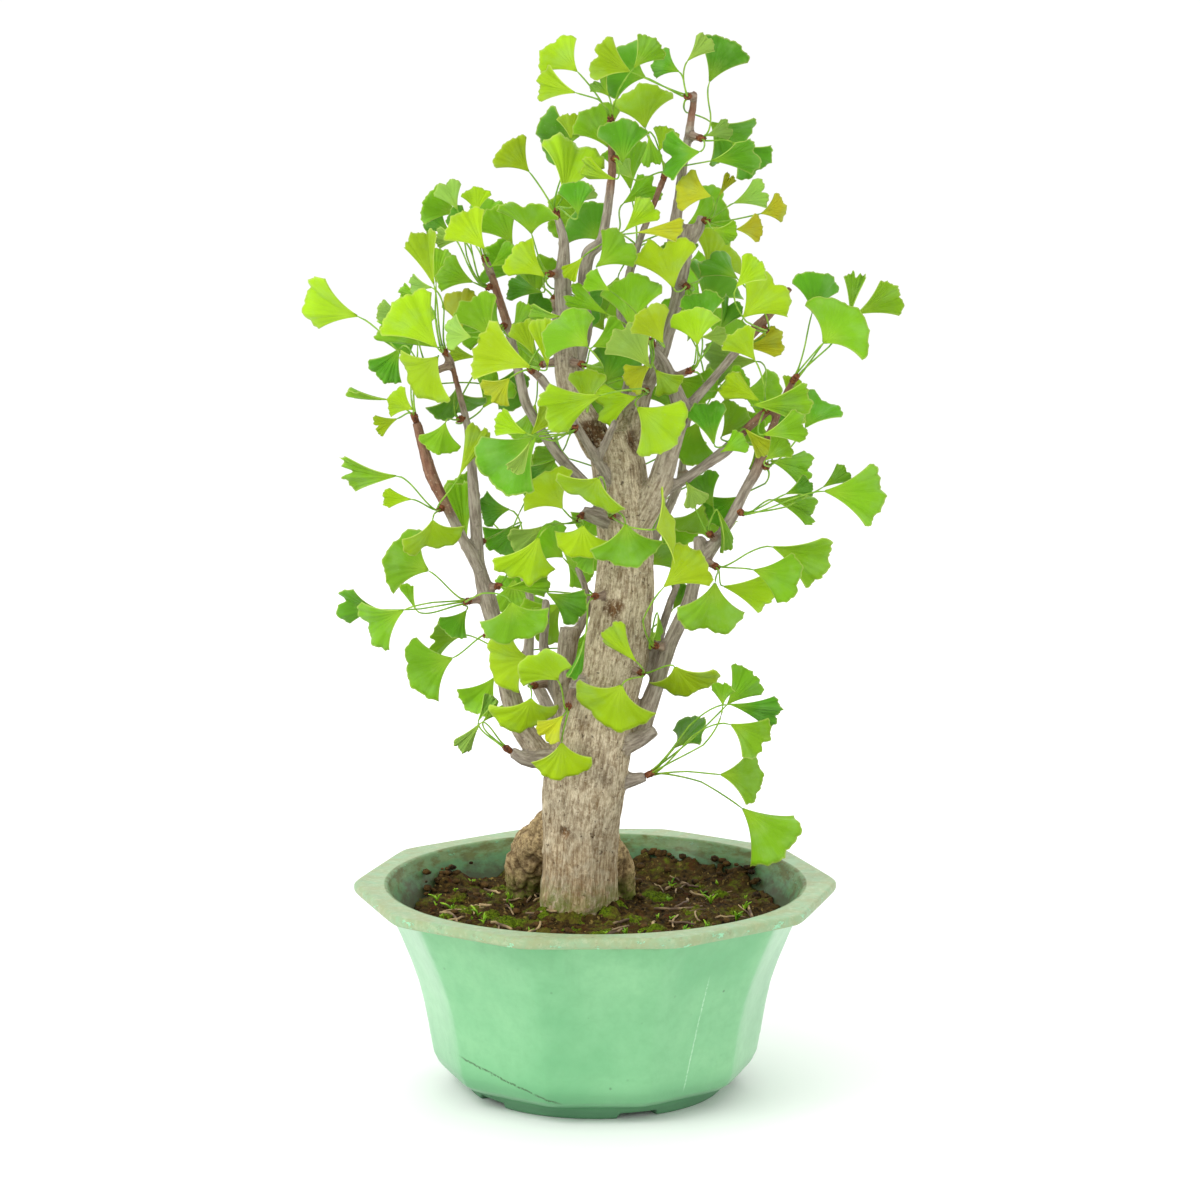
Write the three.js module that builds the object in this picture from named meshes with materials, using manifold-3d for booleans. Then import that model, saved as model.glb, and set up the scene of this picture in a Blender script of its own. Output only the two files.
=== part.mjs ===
// A ginkgo bonsai in its glazed ten-sided pot, in millimetres, +Z up, origin on the table under the
// middle of the whole.
// The trunk and its branches grew as one piece. Each short shoot on them ends in a bud, and each bud
// carries a spray: a few long-stalked, fan-shaped leaves in one solid. Pot, soil, wood and sprays are
// separate pieces.
import * as THREE from "three";
import { mergeVertices } from "three/addons/utils/BufferGeometryUtils.js";
import Module from "manifold-3d";

const wasm = await Module();
wasm.setup();

// Driving dimensions: the pot.
const POT_SIDES = 10;
const POT_TURN = THREE.MathUtils.degToRad(19); // the corner right of the front, seen from above
const RIM_HEIGHT = 125; // top of the lip over the table
const LIP_CORNER = 146; // lip, from the axis to a corner
const LIP_THICKNESS = 7;
const MOUTH_RADIUS = 124; // the round opening
const FOOT_OUTER = 77.4;
const FOOT_INNER = 68;
const FOOT_HEIGHT = 7;
const FOOT_NOTCHES = 5;
const NOTCH_WIDTH = 24;
const NOTCH_HEIGHT = 3.5;
const DRAIN_RADIUS = 12;
const FLOOR_HEIGHT = 16; // inside floor over the table
const ROUND_STEPS = 32;

// Driving dimensions: soil, wood and leaves.
const GAP = 0.3; // between pieces that touch
const SOIL_HEIGHT = 103; // at the pot's wall
const SOIL_MOUND = 6; // rise towards the trunk
const HOLE_GAP = 0.4; // round the trunk and roots in the soil
const BUD_RADIUS = 2.2;
const BUD_HEIGHT = 3;
const SHOOT_RADIUS = 2.3; // a short shoot under its bud
const SHOOT_REACH = 3.5; // a bud further from the bark has a short shoot
const TRUNK_SIDES = 12;
const STALK_RADIUS = 0.7;
const LONG_STALK = 32; // longer stalks bend halfway
const BLADE_THICKNESS = 1;
const LONGER = 1.06; // blades against their rows, which give them foreshortened
const WIDER = 1.18;
const WIDEST = 138; // degrees
const LARGE_BLADE = 34; // longer blades have a finer margin
const STEEP = 0.8; // rise over run of a blade's margin
const CROWN_FOOT = 360; // buds above it bear filling leaves
const FULL_BUD = 5; // leaves, unless its rows give it more
const MOST_FILLING = 2;
const SEED = 47;

// The tree is laid out like an elevation drawing. x and z are read in the upright plane through the
// pot's axis, as seen from a viewpoint in front, and depth (away from the viewer) moves a point along
// its line of sight.
const EYE = new THREE.Vector3(3, -2335, 700);

function place(x, z, depth) {
  const reach = 1 - depth / EYE.y;
  return new THREE.Vector3(
    EYE.x + (x - EYE.x) * reach,
    depth,
    EYE.z + (z - EYE.z) * reach,
  );
}

// A seeded generator of numbers spread evenly from 0 to 1.
function generator(seed) {
  let state = seed;
  return () => {
    state = (state + 0x6d2b79f5) | 0;
    let mixed = Math.imul(state ^ (state >>> 15), 1 | state);
    mixed = (mixed + Math.imul(mixed ^ (mixed >>> 7), 61 | mixed)) ^ mixed;
    return ((mixed ^ (mixed >>> 14)) >>> 0) / 4294967296;
  };
}

// ---- Solids -------------------------------------------------------------------------------------

function solid(geometry) {
  const bare = geometry.index ? geometry.toNonIndexed() : geometry.clone();
  const points = new THREE.BufferGeometry();
  points.setAttribute("position", bare.getAttribute("position"));
  const merged = mergeVertices(points, 1e-4);
  const index = merged.index.array;
  const kept = [];
  for (let i = 0; i < index.length; i += 3) {
    const [a, b, c] = [index[i], index[i + 1], index[i + 2]];
    if (a !== b && b !== c && c !== a) kept.push(a, b, c);
  }
  const made = new wasm.Manifold(
    new wasm.Mesh({
      numProp: 3,
      vertProperties: new Float32Array(merged.attributes.position.array),
      triVerts: new Uint32Array(kept),
    }),
  );
  if (made.volume() < 0) throw new Error("a surface is inside out");
  return made;
}

function mesh(name, shape, colour, roughness) {
  const { vertProperties, triVerts } = shape.getMesh();
  const geometry = new THREE.BufferGeometry();
  geometry.setAttribute(
    "position",
    new THREE.BufferAttribute(vertProperties, 3),
  );
  geometry.setIndex(new THREE.BufferAttribute(triVerts, 1));
  geometry.computeVertexNormals();
  const made = new THREE.Mesh(
    geometry,
    new THREE.MeshStandardMaterial({ color: colour, roughness, metalness: 0 }),
  );
  made.name = name;
  return made;
}

// A profile of [radius, height] pairs turned about the Z axis.
function turned(profile, steps, start = 0) {
  const points = profile.map(([r, h]) => new THREE.Vector2(r, h));
  const geometry = new THREE.LatheGeometry(points, steps, start);
  return geometry.rotateX(Math.PI / 2);
}

// ---- Pot ----------------------------------------------------------------------------------------

// The body's corner radius from the foot up: a rounded base, then a hollow flare that opens under the lip.
const BODY = [
  [82, 7.5],
  [90, 10],
  [95.7, 13.8],
  [98.7, 20],
  [99.9, 26.4],
  [101.7, 38],
  [104.1, 51],
  [107.1, 63.6],
  [111.3, 76],
  [118.2, 93],
  [126, 110],
];

// The round inside, from the floor up.
const INSIDE = [
  [80, FLOOR_HEIGHT],
  [87, 26],
  [101, 83],
  [MOUTH_RADIUS, RIM_HEIGHT - 1.5],
];

function makePot() {
  const under = RIM_HEIGHT - LIP_THICKNESS;
  const outside = turned(
    [
      [0, FOOT_HEIGHT],
      ...BODY,
      [129.6, under],
      [LIP_CORNER - 3, under],
      [LIP_CORNER, under + 2],
      [LIP_CORNER, RIM_HEIGHT - 1.5],
      [LIP_CORNER - 1.5, RIM_HEIGHT],
      [0, RIM_HEIGHT],
    ],
    POT_SIDES,
    POT_TURN,
  );
  const inside = turned(
    [
      [0, FLOOR_HEIGHT],
      ...INSIDE,
      [MOUTH_RADIUS, RIM_HEIGHT],
      [MOUTH_RADIUS, RIM_HEIGHT + 5],
      [0, RIM_HEIGHT + 5],
    ],
    ROUND_STEPS,
  );
  const foot = turned(
    [
      [FOOT_INNER, 0],
      [FOOT_OUTER, 0],
      [FOOT_OUTER, FOOT_HEIGHT + 2],
      [FOOT_INNER, FOOT_HEIGHT + 2],
      [FOOT_INNER, 0],
    ],
    ROUND_STEPS,
  );
  const drain = new THREE.CylinderGeometry(
    DRAIN_RADIUS,
    DRAIN_RADIUS,
    FLOOR_HEIGHT * 3,
    16,
  ).rotateX(Math.PI / 2);
  let pot = solid(outside).add(solid(foot)).subtract(solid(inside));
  pot = pot.subtract(solid(drain));
  for (let i = 0; i < FOOT_NOTCHES; i++) {
    const middle = (FOOT_OUTER + FOOT_INNER) / 2;
    const notch = new THREE.BoxGeometry(NOTCH_WIDTH, 24, NOTCH_HEIGHT * 2)
      .translate(0, -middle, 0)
      .rotateZ(POT_TURN + (i * 2 * Math.PI) / FOOT_NOTCHES);
    pot = pot.subtract(solid(notch));
  }
  return pot;
}

// ---- Wood ---------------------------------------------------------------------------------------

// Rows of [x, z, depth, radius] from the foot of each limb to its tip. The first is the trunk.
const TRUNK = [
  [-11, 70, 2, 20],
  [-11, 96, 2, 24],
  [-10.5, 112, 1, 23.2],
  [-9, 130, 0, 22.5],
  [-8, 156, 0, 22.8],
  [-6, 176, 0, 23.6],
  [-4, 190, 0, 24.5],
  [-2, 206, 0, 24],
  [1, 223, 1, 21.5],
  [6, 243, 2, 19],
  [11, 262, 3, 19],
  [16, 296, 4, 18],
  [18, 322, 5, 16.5],
  [17, 354, 6, 15.5],
  [13, 382, 7, 16],
  [9, 396, 8, 14],
];

const LIMBS = {
  leader: [
    [4, 385, 6, 9.5],
    [-12, 412, 6, 8.6],
    [-17, 433, 5, 7.3],
    [-18, 458, 3, 4.7],
    [-19, 484, 1, 5.2],
    [-18, 508, 0, 3.1],
    [-22, 522, 0, 2.4],
  ],
  second_leader: [
    [-13, 424, 6, 4.4],
    [-5, 456, 8, 3.7],
    [-7, 484, 6, 3.7],
    [-4, 502, 3, 4.4],
    [4, 507, 2, 3.3],
    [7, 525, 1, 2.8],
    [10, 548, 0, 2.6],
    [9, 576, 0, 2.2],
  ],
  right_leader: [
    [17, 388, 8, 9.5],
    [27, 420, 12, 6.5],
    [38, 442, 14, 5.2],
    [47, 470, 15, 4],
    [51, 491, 15, 4],
    [56, 518, 15, 3.3],
  ],
  cut_end: [
    [56, 508, 15, 3.4],
    [61, 516, 15, 3.3],
    [62, 523, 15, 2.9],
  ],
  tall_shoot: [
    [48, 478, 15, 3.4],
    [45, 498, 16, 3.4],
    [46, 513, 16, 4.1],
    [49, 534, 16, 3.1],
    [51, 552, 15, 2.8],
    [55, 574, 14, 2.6],
    [58, 595, 14, 1.9],
  ],
  thin_shoot: [
    [25, 418, 12, 3.2],
    [16, 452, 18, 2.6],
    [20, 487, 18, 2.2],
    [26, 509, 16, 2.2],
    [35, 532, 14, 2.1],
    [40, 545, 12, 2.1],
  ],
  right_limb: [
    [20, 332, 2, 8.6],
    [32, 352, -2, 7.7],
    [38, 366, -5, 7.3],
    [46, 392, -8, 5.8],
    [51, 409, -10, 5.6],
    [45, 426, -10, 4.3],
    [40, 438, -9, 3.4],
    [34, 446, -8, 2.6],
  ],
  right_fork: [
    [51, 407, -8, 3.6],
    [60, 417, -4, 3],
    [69, 427, 0, 2.7],
    [82, 443, 6, 2.7],
    [94, 457, 10, 3.7],
    [103, 466, 11, 2.3],
    [114, 481, 12, 2],
  ],
  right_side: [
    [38, 360, -2, 3.8],
    [50, 366, 0, 3.2],
    [63, 375, 0, 3],
    [77, 385, -2, 3.8],
    [88, 397, -4, 2.7],
    [97, 405, -5, 2.9],
    [106, 413, -6, 2.3],
  ],
  right_arm: [
    [26, 214, 2, 6.5],
    [36, 244, 2, 4.9],
    [45, 272, 0, 4.5],
    [55, 292, -2, 4.5],
    [59, 309, -2, 3.9],
    [64, 322, -2, 5.4],
    [73, 332, -2, 3.3],
    [81, 346, -2, 3.6],
    [88, 361, -2, 3.2],
    [95, 373, -2, 3.7],
    [100, 388, -3, 2.9],
    [106, 403, -4, 2.4],
    [110, 415, -5, 2.2],
    [116, 426, -5, 1.9],
  ],
  right_arm_stub: [
    [63, 320, -2, 4.8],
    [61, 334, -3, 3.4],
  ],
  right_arm_twin: [
    [34, 250, 4, 3.5],
    [38, 274, 7, 2.9],
    [45, 296, 9, 2.4],
    [49, 306, 9, 2.1],
  ],
  left_limb: [
    [-12, 188, 0, 8.8],
    [-33, 202, -3, 7.5],
    [-45, 220, -5, 6.8],
    [-53, 247, -7, 5.8],
    [-57, 271, -8, 5.2],
    [-64, 297, -8, 5.4],
    [-69, 317, -7, 3.8],
    [-71, 350, -5, 3.8],
    [-73, 380, -3, 3],
    [-75, 400, -2, 2.4],
    [-80, 420, -4, 2],
    [-84, 436, -5, 1.9],
  ],
  left_arm: [
    [-69, 315, -8, 3.9],
    [-77, 330, -12, 3.4],
    [-87, 350, -15, 3],
    [-97, 371, -17, 3.9],
    [-101, 386, -18, 3.2],
    [-105, 402, -18, 2.9],
  ],
  left_spur: [
    [-14, 198, -4, 7.6],
    [-29, 199, -9, 6],
    [-42, 199, -12, 4.2],
    [-50, 204, -13, 3.1],
  ],
  left_cut_limb: [
    [-8, 206, 8, 8.5],
    [-17, 226, 14, 7.2],
    [-19, 245, 15, 6.6],
    [-17, 264, 15, 6.1],
    [-15, 279, 15, 6],
  ],
  left_thin_limb: [
    [-16, 226, 12, 4.8],
    [-27, 246, 22, 3.4],
    [-31, 268, 25, 3],
    [-29, 296, 26, 2.6],
  ],
  left_thin_twig: [
    [-15, 268, 14, 3.2],
    [-4, 290, 20, 2.6],
    [-6, 304, 22, 2.2],
    [-11, 316, 24, 2.1],
  ],
  crossing_twig: [
    [9, 366, -5, 3.4],
    [-3, 386, -17, 2.7],
    [-11, 400, -20, 2.5],
    [-21, 413, -22, 2.5],
    [-32, 428, -24, 3],
  ],
  crossing_tip: [
    [1, 378, -12, 2.5],
    [8, 394, -18, 2.4],
    [12, 403, -20, 2],
  ],
  upper_left: [
    [9, 348, 0, 4.2],
    [-21, 381, -12, 3.4],
    [-32, 397, -12, 3.2],
    [-41, 413, -10, 3.2],
    [-46, 436, -4, 2.9],
    [-51, 458, 2, 2.9],
    [-57, 477, 4, 2.7],
    [-61, 490, 5, 2.4],
  ],
  right_cut_stub: [
    [10, 205, -8, 7.2],
    [26, 211, -12, 5],
    [36, 217, -14, 3.6],
  ],
  right_low_spur: [
    [10, 185, -6, 6.3],
    [24, 187, -10, 4],
    [30, 189, -11, 3.1],
  ],
  left_knob: [
    [0, 243, -6, 6.3],
    [-13, 245, -13, 5],
  ],
  middle_stub: [
    [10, 342, -2, 5.4],
    [-7, 348, -8, 4],
  ],
  back_low: [
    [4, 232, 12, 5.3],
    [14, 262, 46, 4],
    [10, 300, 68, 3.3],
    [18, 338, 82, 2.4],
    [14, 362, 88, 1.9],
  ],
  back_left: [
    [-6, 196, 14, 5.9],
    [-24, 222, 52, 4.3],
    [-40, 256, 78, 3.6],
    [-38, 296, 92, 2.6],
    [-48, 326, 98, 1.9],
  ],
  back_right: [
    [18, 300, 12, 4.3],
    [34, 330, 48, 3.3],
    [50, 366, 74, 2.7],
    [54, 400, 84, 1.9],
    [62, 420, 88, 1.9],
  ],
  back_high: [
    [8, 372, 14, 4.6],
    [-6, 404, 44, 3.3],
    [-22, 438, 62, 2.6],
    [-24, 470, 68, 1.9],
  ],
  back_top: [
    [12, 388, 14, 4.6],
    [20, 428, 42, 3],
    [14, 468, 54, 2.4],
    [22, 500, 58, 1.9],
  ],
  root_left: [
    [-14, 164, 8, 12],
    [-27, 155, 18, 13.5],
    [-37, 142, 30, 14.5],
    [-42, 125, 42, 12.5],
    [-44, 98, 50, 8],
  ],
  root_right: [
    [2, 152, 12, 10],
    [11, 141, 18, 9],
    [15, 125, 25, 8],
    [17, 98, 30, 5],
  ],
};

// A limb's axis, with the radius at each of its points.
function spine(rows) {
  return rows.map(([x, z, depth, radius]) => ({
    centre: place(x, z, depth),
    radius,
  }));
}

// A limb's skin: a cylinder bent onto its spine. swell(angle, height) changes the radius round the limb.
function limb(nodes, sides, grow = 0, swell = () => 1) {
  const steps = nodes.length - 1;
  const tangents = nodes.map((_, i) =>
    new THREE.Vector3()
      .subVectors(
        nodes[Math.min(i + 1, steps)].centre,
        nodes[Math.max(i - 1, 0)].centre,
      )
      .normalize(),
  );
  const normals = [];
  const first = Math.abs(tangents[0].y) < 0.9 ? [0, 1, 0] : [1, 0, 0];
  let normal = new THREE.Vector3(...first).cross(tangents[0]).normalize();
  for (const tangent of tangents) {
    normal = normal
      .clone()
      .addScaledVector(tangent, -normal.dot(tangent))
      .normalize();
    normals.push(normal);
  }
  const geometry = new THREE.CylinderGeometry(1, 1, 1, sides, steps);
  const positions = geometry.attributes.position;
  const point = new THREE.Vector3();
  for (let i = 0; i < positions.count; i++) {
    point.fromBufferAttribute(positions, i);
    const step = Math.round((point.y + 0.5) * steps);
    const { centre, radius } = nodes[step];
    const out = Math.hypot(point.x, point.z);
    const angle = Math.atan2(point.z, point.x);
    const reach = out < 0.5 ? 0 : (radius + grow) * swell(angle, centre.z);
    const across = tangents[step].clone().cross(normals[step]);
    const moved = centre
      .clone()
      .addScaledVector(normals[step], reach * Math.cos(angle))
      .addScaledVector(across, -reach * Math.sin(angle));
    positions.setXYZ(i, moved.x, moved.y, moved.z);
  }
  return solid(geometry);
}

const trunkSpine = spine(TRUNK);
const limbSpines = Object.fromEntries(
  Object.entries(LIMBS).map(([name, rows]) => [name, spine(rows)]),
);

// The trunk is fluted, with low ridges that run up it and drift round it.
const fluted = (angle, height) =>
  1 +
  0.05 * Math.sin(3 * angle + height / 37) +
  0.03 * Math.sin(5 * angle - height / 23);

// ---- Sprays -------------------------------------------------------------------------------------

// Leaf tones, as colours of the sprays they fill.
const LIME = 0x93c51c;
const GREEN = 0x5fa81a;
const DEEP = 0x2f7d14;
const PALE = 0xa5cf72;
const GOLD = 0xc9cf1f;

// Each spray: its bud [x, z, depth], then its leaves, each as [x, z, depth of the blade's root, aim of
// its midline in degrees (0 to the right, 90 up), length, spread of the fan, lean of the tip towards the
// viewer, turn about the midline, tone].
const SPRAYS = [
  [
    [9, 581, 0],
    [-10, 606, -8, 140, 23, 76, 15, 0, LIME],
    [-11, 594, -20, 165, 24, 48, 10, 20, LIME],
    [8, 592, -4, 128, 15, 56, 20, 0, GREEN],
    [22, 608, -14, 48, 20, 60, 10, 10, GREEN],
  ],
  [
    [54, 592, 8],
    [21, 606, 0, 157, 24, 66, 10, 0, LIME],
    [49, 606, 4, 155, 17, 64, 25, 20, DEEP],
    [53, 612, 20, 45, 18, 42, 0, 35, PALE],
  ],
  [
    [61, 568, 10],
    [64, 569, 12, 18, 16, 44, 10, 20, PALE],
    [61, 560, -8, 193, 24, 74, 15, 0, DEEP],
  ],
  [
    [13, 556, -5],
    [16, 553, -14, 91, 24, 74, 10, 0, DEEP],
    [8, 562, 18, 116, 25, 72, 0, 0, GREEN],
    [12, 544, -22, 166, 21, 42, 30, 0, LIME],
  ],
  [
    [41, 548, 10],
    [29, 573, 8, 98, 26, 84, 0, 0, LIME],
    [22, 544, -8, 130, 13, 62, 0, 0, PALE],
    [31, 570, -14, 282, 18, 42, 10, 20, GREEN],
    [37, 560, 26, 70, 15, 60, 0, 0, LIME],
  ],
  [
    [9, 512, -4],
    [16, 530, 10, 32, 23, 52, 10, 0, GREEN],
    [24, 513, -26, 12, 26, 34, 0, 20, GOLD],
    [17, 514, -14, 44, 22, 46, 0, 0, LIME],
    [1, 493, -28, 42, 23, 72, 15, 0, GREEN],
    [3, 508, 24, 128, 23, 96, 0, 0, DEEP],
    [-7, 499, -20, 228, 15, 46, 0, 0, LIME],
  ],
  [
    [-23, 526, -1],
    [-19, 534, -16, 74, 36, 64, 10, 0, LIME],
    [-14, 567, 10, 92, 15, 56, 10, 20, LIME],
    [-12, 529, -30, 46, 14, 56, 10, 10, PALE],
    [-10, 523, 6, 96, 19, 62, 0, 0, DEEP],
    [-38, 548, 2, 132, 22, 64, 0, 0, LIME],
  ],
  [
    [-26, 489, -4],
    [-37, 512, -22, 104, 25, 96, -20, 0, GREEN],
    [-29, 487, -16, 142, 24, 60, 10, 0, LIME],
    [-31, 478, 14, 165, 20, 50, 0, 0, DEEP],
    [-48, 506, 16, 120, 24, 70, 0, 0, GREEN],
  ],
  [
    [-64, 497, 3],
    [-69, 524, -12, 93, 15, 66, 10, 0, LIME],
    [-68, 512, 12, 76, 22, 64, 0, 0, GREEN],
    [-71, 517, 0, 150, 15, 60, 0, 0, DEEP],
    [-64, 503, -26, 132, 25, 66, 20, 0, LIME],
    [-61, 493, -10, 38, 17, 58, 0, 0, GREEN],
  ],
  [
    [-63, 481, 4],
    [-80, 524, 6, 156, 21, 72, 0, 0, GREEN],
    [-80, 526, -14, 116, 17, 58, 0, 0, PALE],
    [-85, 514, 12, 148, 15, 70, 0, 0, DEEP],
    [-78, 509, -18, 176, 15, 46, 10, 0, PALE],
    [-71, 484, -4, 160, 21, 60, 10, 0, GREEN],
  ],
  [
    [-88, 443, -6],
    [-94, 482, -8, 107, 31, 38, 0, 25, LIME],
    [-93, 483, 10, 88, 20, 46, 0, 10, GREEN],
    [-95, 481, -20, 172, 14, 46, 0, 0, PALE],
    [-92, 445, -24, 128, 34, 62, 10, 0, LIME],
    [-93, 446, -40, 168, 35, 34, 15, 20, GREEN],
    [-100, 474, 6, 164, 15, 44, 0, 0, GREEN],
  ],
  [
    [-94, 432, -12],
    [-138, 464, 4, 164, 34, 66, 0, 0, LIME],
    [-112, 464, -16, 160, 15, 46, 0, 0, PALE],
    [-92, 441, -32, 237, 27, 96, 10, 0, LIME],
    [-114, 446, -12, 236, 22, 58, 10, 10, DEEP],
  ],
  [
    [-107, 407, -19],
    [-120, 415, -20, 172, 24, 40, 0, 40, GREEN],
    [-107, 409, -34, 152, 15, 80, 10, 0, LIME],
    [-116, 404, -10, 200, 14, 50, 0, 20, LIME],
    [-104, 446, -2, 92, 24, 56, 0, 0, LIME],
  ],
  [
    [-78, 404, -3],
    [-82, 421, -30, 270, 21, 126, 15, 0, DEEP],
    [-88, 402, -12, 255, 18, 82, 0, 0, GREEN],
    [-70, 440, 8, 170, 17, 44, 0, 0, LIME],
    [-66, 410, 12, 60, 22, 72, 0, 0, GREEN],
  ],
  [
    [-55, 458, -2],
    [-78, 456, 4, 100, 23, 62, 0, 0, GOLD],
    [-60, 450, -24, 120, 27, 60, 0, 0, GREEN],
    [-72, 452, -34, 172, 16, 74, 10, 0, PALE],
    [-49, 452, -14, 65, 20, 38, 0, 30, GREEN],
    [-44, 462, 18, 40, 20, 70, 0, 0, DEEP],
  ],
  [
    [-37, 432, -26],
    [-37, 434, -40, 160, 34, 56, 10, 0, LIME],
    [-36, 441, -22, 112, 20, 52, 0, 0, LIME],
    [-20, 464, -28, 178, 19, 34, 10, 0, GREEN],
    [-50, 428, -28, 225, 17, 74, 0, 0, GOLD],
    [-28, 434, -48, 94, 27, 42, 0, 0, LIME],
  ],
  [
    [65, 520, 12],
    [68, 534, 0, 163, 20, 74, 0, 0, GOLD],
    [80, 530, 14, 22, 21, 48, 0, 10, PALE],
    [96, 524, 16, 14, 16, 62, 0, 0, GOLD],
    [82, 515, 4, 2, 15, 64, 0, 0, GOLD],
    [69, 515, -4, -14, 13, 72, 10, 0, GREEN],
    [72, 534, 26, 62, 14, 30, 0, 30, GOLD],
  ],
  [
    [53, 482, 8],
    [65, 490, 0, 61, 26, 100, 10, 0, LIME],
    [46, 480, -18, 105, 30, 72, 10, 0, LIME],
    [50, 486, 24, 94, 23, 52, 0, 0, GREEN],
    [64, 455, -2, 95, 23, 66, 0, 0, DEEP],
  ],
  [
    [101, 455, 8],
    [86, 463, -12, 45, 29, 78, 10, 0, LIME],
    [82, 481, 6, 45, 20, 56, 0, 0, LIME],
    [86, 446, 22, 12, 24, 44, 0, 0, GOLD],
  ],
  [
    [55, 432, -12],
    [60, 447, -36, 98, 21, 84, -15, 0, LIME],
    [62, 452, -20, 10, 14, 60, 0, 0, PALE],
    [72, 455, -12, 60, 21, 52, 0, 0, DEEP],
    [70, 420, 10, 20, 20, 60, 0, 0, GREEN],
  ],
  [
    [33, 449, -9],
    [32, 434, -36, 125, 28, 66, 10, 0, PALE],
    [40, 448, -20, 118, 22, 72, 0, 0, LIME],
    [33, 436, -46, 214, 19, 60, 0, 0, GOLD],
    [35, 433, -30, -48, 17, 72, 0, 0, LIME],
    [21, 456, -8, 88, 31, 76, 0, 0, GREEN],
    [8, 465, -26, 151, 26, 34, 0, 20, GREEN],
    [9, 479, -14, 150, 16, 52, 0, 0, GREEN],
  ],
  [
    [80, 389, -8],
    [74, 393, 8, 45, 21, 72, 0, 0, GREEN],
    [74, 384, 12, 32, 16, 54, 0, 0, GREEN],
    [88, 398, -24, -44, 19, 40, 0, 20, GOLD],
    [70, 388, 22, 104, 25, 54, 0, 0, DEEP],
    [94, 388, 6, -80, 16, 42, 0, 20, GREEN],
  ],
  [
    [100, 409, -9],
    [92, 412, -26, 0, 33, 40, 10, 10, GREEN],
    [97, 414, -10, 148, 23, 48, 0, 0, LIME],
    [95, 438, -18, 188, 34, 46, 10, 0, PALE],
    [94, 438, -34, 128, 21, 64, 0, 0, LIME],
    [98, 394, 4, 14, 25, 44, 0, 0, GREEN],
  ],
  [
    [119, 430, -6],
    [133, 448, -6, 45, 27, 124, 0, 0, GREEN],
    [149, 465, 4, 78, 24, 34, 0, 40, GREEN],
    [152, 465, 10, 30, 28, 54, 0, 0, GREEN],
    [112, 415, -14, 64, 14, 62, 0, 0, LIME],
  ],
  [
    [102, 375, -4],
    [100, 379, -8, 44, 17, 66, 0, 0, GREEN],
    [102, 379, 10, -10, 26, 44, 0, 0, GREEN],
    [104, 390, 20, 60, 20, 60, 0, 0, DEEP],
  ],
  [
    [88, 347, -6],
    [112, 359, 6, 20, 16, 46, 0, 0, DEEP],
    [104, 356, -10, -14, 29, 42, 0, 0, GREEN],
    [134, 361, -14, -6, 36, 56, 0, 0, GREEN],
    [134, 363, 4, 36, 17, 42, 0, 0, GREEN],
  ],
  [
    [68, 335, -6],
    [72, 350, -12, -72, 24, 34, 0, 45, GREEN],
    [70, 351, 8, 124, 21, 70, 0, 0, DEEP],
    [54, 366, 16, -62, 15, 60, 0, 0, PALE],
  ],
  [
    [71, 316, -10],
    [104, 328, -12, -19, 34, 54, 0, 15, GREEN],
    [93, 314, -26, -13, 27, 66, 0, 0, GREEN],
    [75, 304, -14, -8, 31, 54, 0, 0, LIME],
    [71, 307, -34, 264, 30, 86, 10, 0, GREEN],
  ],
  [
    [36, 268, -5],
    [40, 303, -16, 42, 28, 66, 0, 0, LIME],
    [37, 288, -14, 280, 16, 40, 0, 30, GREEN],
    [46, 290, -8, 60, 16, 60, 0, 0, DEEP],
  ],
  [
    [27, 252, -14],
    [16, 245, -40, 247, 28, 150, 15, 0, LIME],
    [47, 256, -26, -58, 26, 156, 10, 0, LIME],
    [25, 258, -34, 138, 25, 46, 0, 30, LIME],
  ],
  [
    [34, 191, -11],
    [78, 232, -4, 46, 24, 60, 0, 0, GREEN],
    [79, 233, -18, -14, 30, 34, 0, 10, DEEP],
    [76, 232, -28, 100, 13, 80, 0, 30, GREEN],
    [80, 221, -34, -26, 24, 70, 0, 0, GREEN],
    [47, 206, -6, 45, 24, 110, 0, 74, DEEP],
    [74, 190, -20, -7, 25, 76, 0, 0, GREEN],
    [87, 170, -10, -37, 36, 66, 0, 0, GREEN],
  ],
  [
    [-53, 206, -14],
    [-68, 222, -20, 233, 20, 34, 0, 30, PALE],
    [-67, 222, -12, 44, 15, 46, 0, 0, GREEN],
    [-70, 222, -4, 62, 17, 26, 0, 30, PALE],
  ],
  [
    [-16, 232, -22],
    [-22, 247, -40, 128, 23, 120, 0, 0, LIME],
    [-19, 226, -36, 225, 17, 60, 0, 0, GOLD],
    [-20, 210, -34, 272, 22, 102, 0, 0, LIME],
  ],
  [
    [-36, 244, 16],
    [-38, 237, -24, 258, 25, 114, 10, 0, LIME],
    [-38, 260, -20, 182, 25, 114, 10, 0, LIME],
  ],
  [
    [-66, 274, -10],
    [-84, 261, -10, 200, 28, 84, 0, 0, GREEN],
    [-43, 278, -6, 34, 15, 54, 0, 0, GREEN],
  ],
  [
    [-75, 295, -12],
    [-98, 313, -20, 156, 26, 96, 0, 0, GREEN],
    [-106, 289, -20, 112, 17, 30, 0, 55, GREEN],
    [-128, 290, -8, 172, 24, 70, 0, 0, DEEP],
    [-113, 290, -28, 213, 32, 58, 10, 0, GREEN],
    [-76, 290, 4, 232, 18, 62, 0, 0, DEEP],
    [-50, 295, -34, 281, 24, 124, 15, 0, GREEN],
  ],
  [
    [-58, 304, -12],
    [-53, 303, -16, 6, 24, 40, 0, 10, GREEN],
    [-50, 350, 6, 186, 19, 64, 0, 0, DEEP],
  ],
  [
    [-92, 350, -18],
    [-116, 370, -20, 183, 34, 42, 0, 0, GREEN],
    [-108, 356, -26, 178, 16, 44, 0, 0, LIME],
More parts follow.
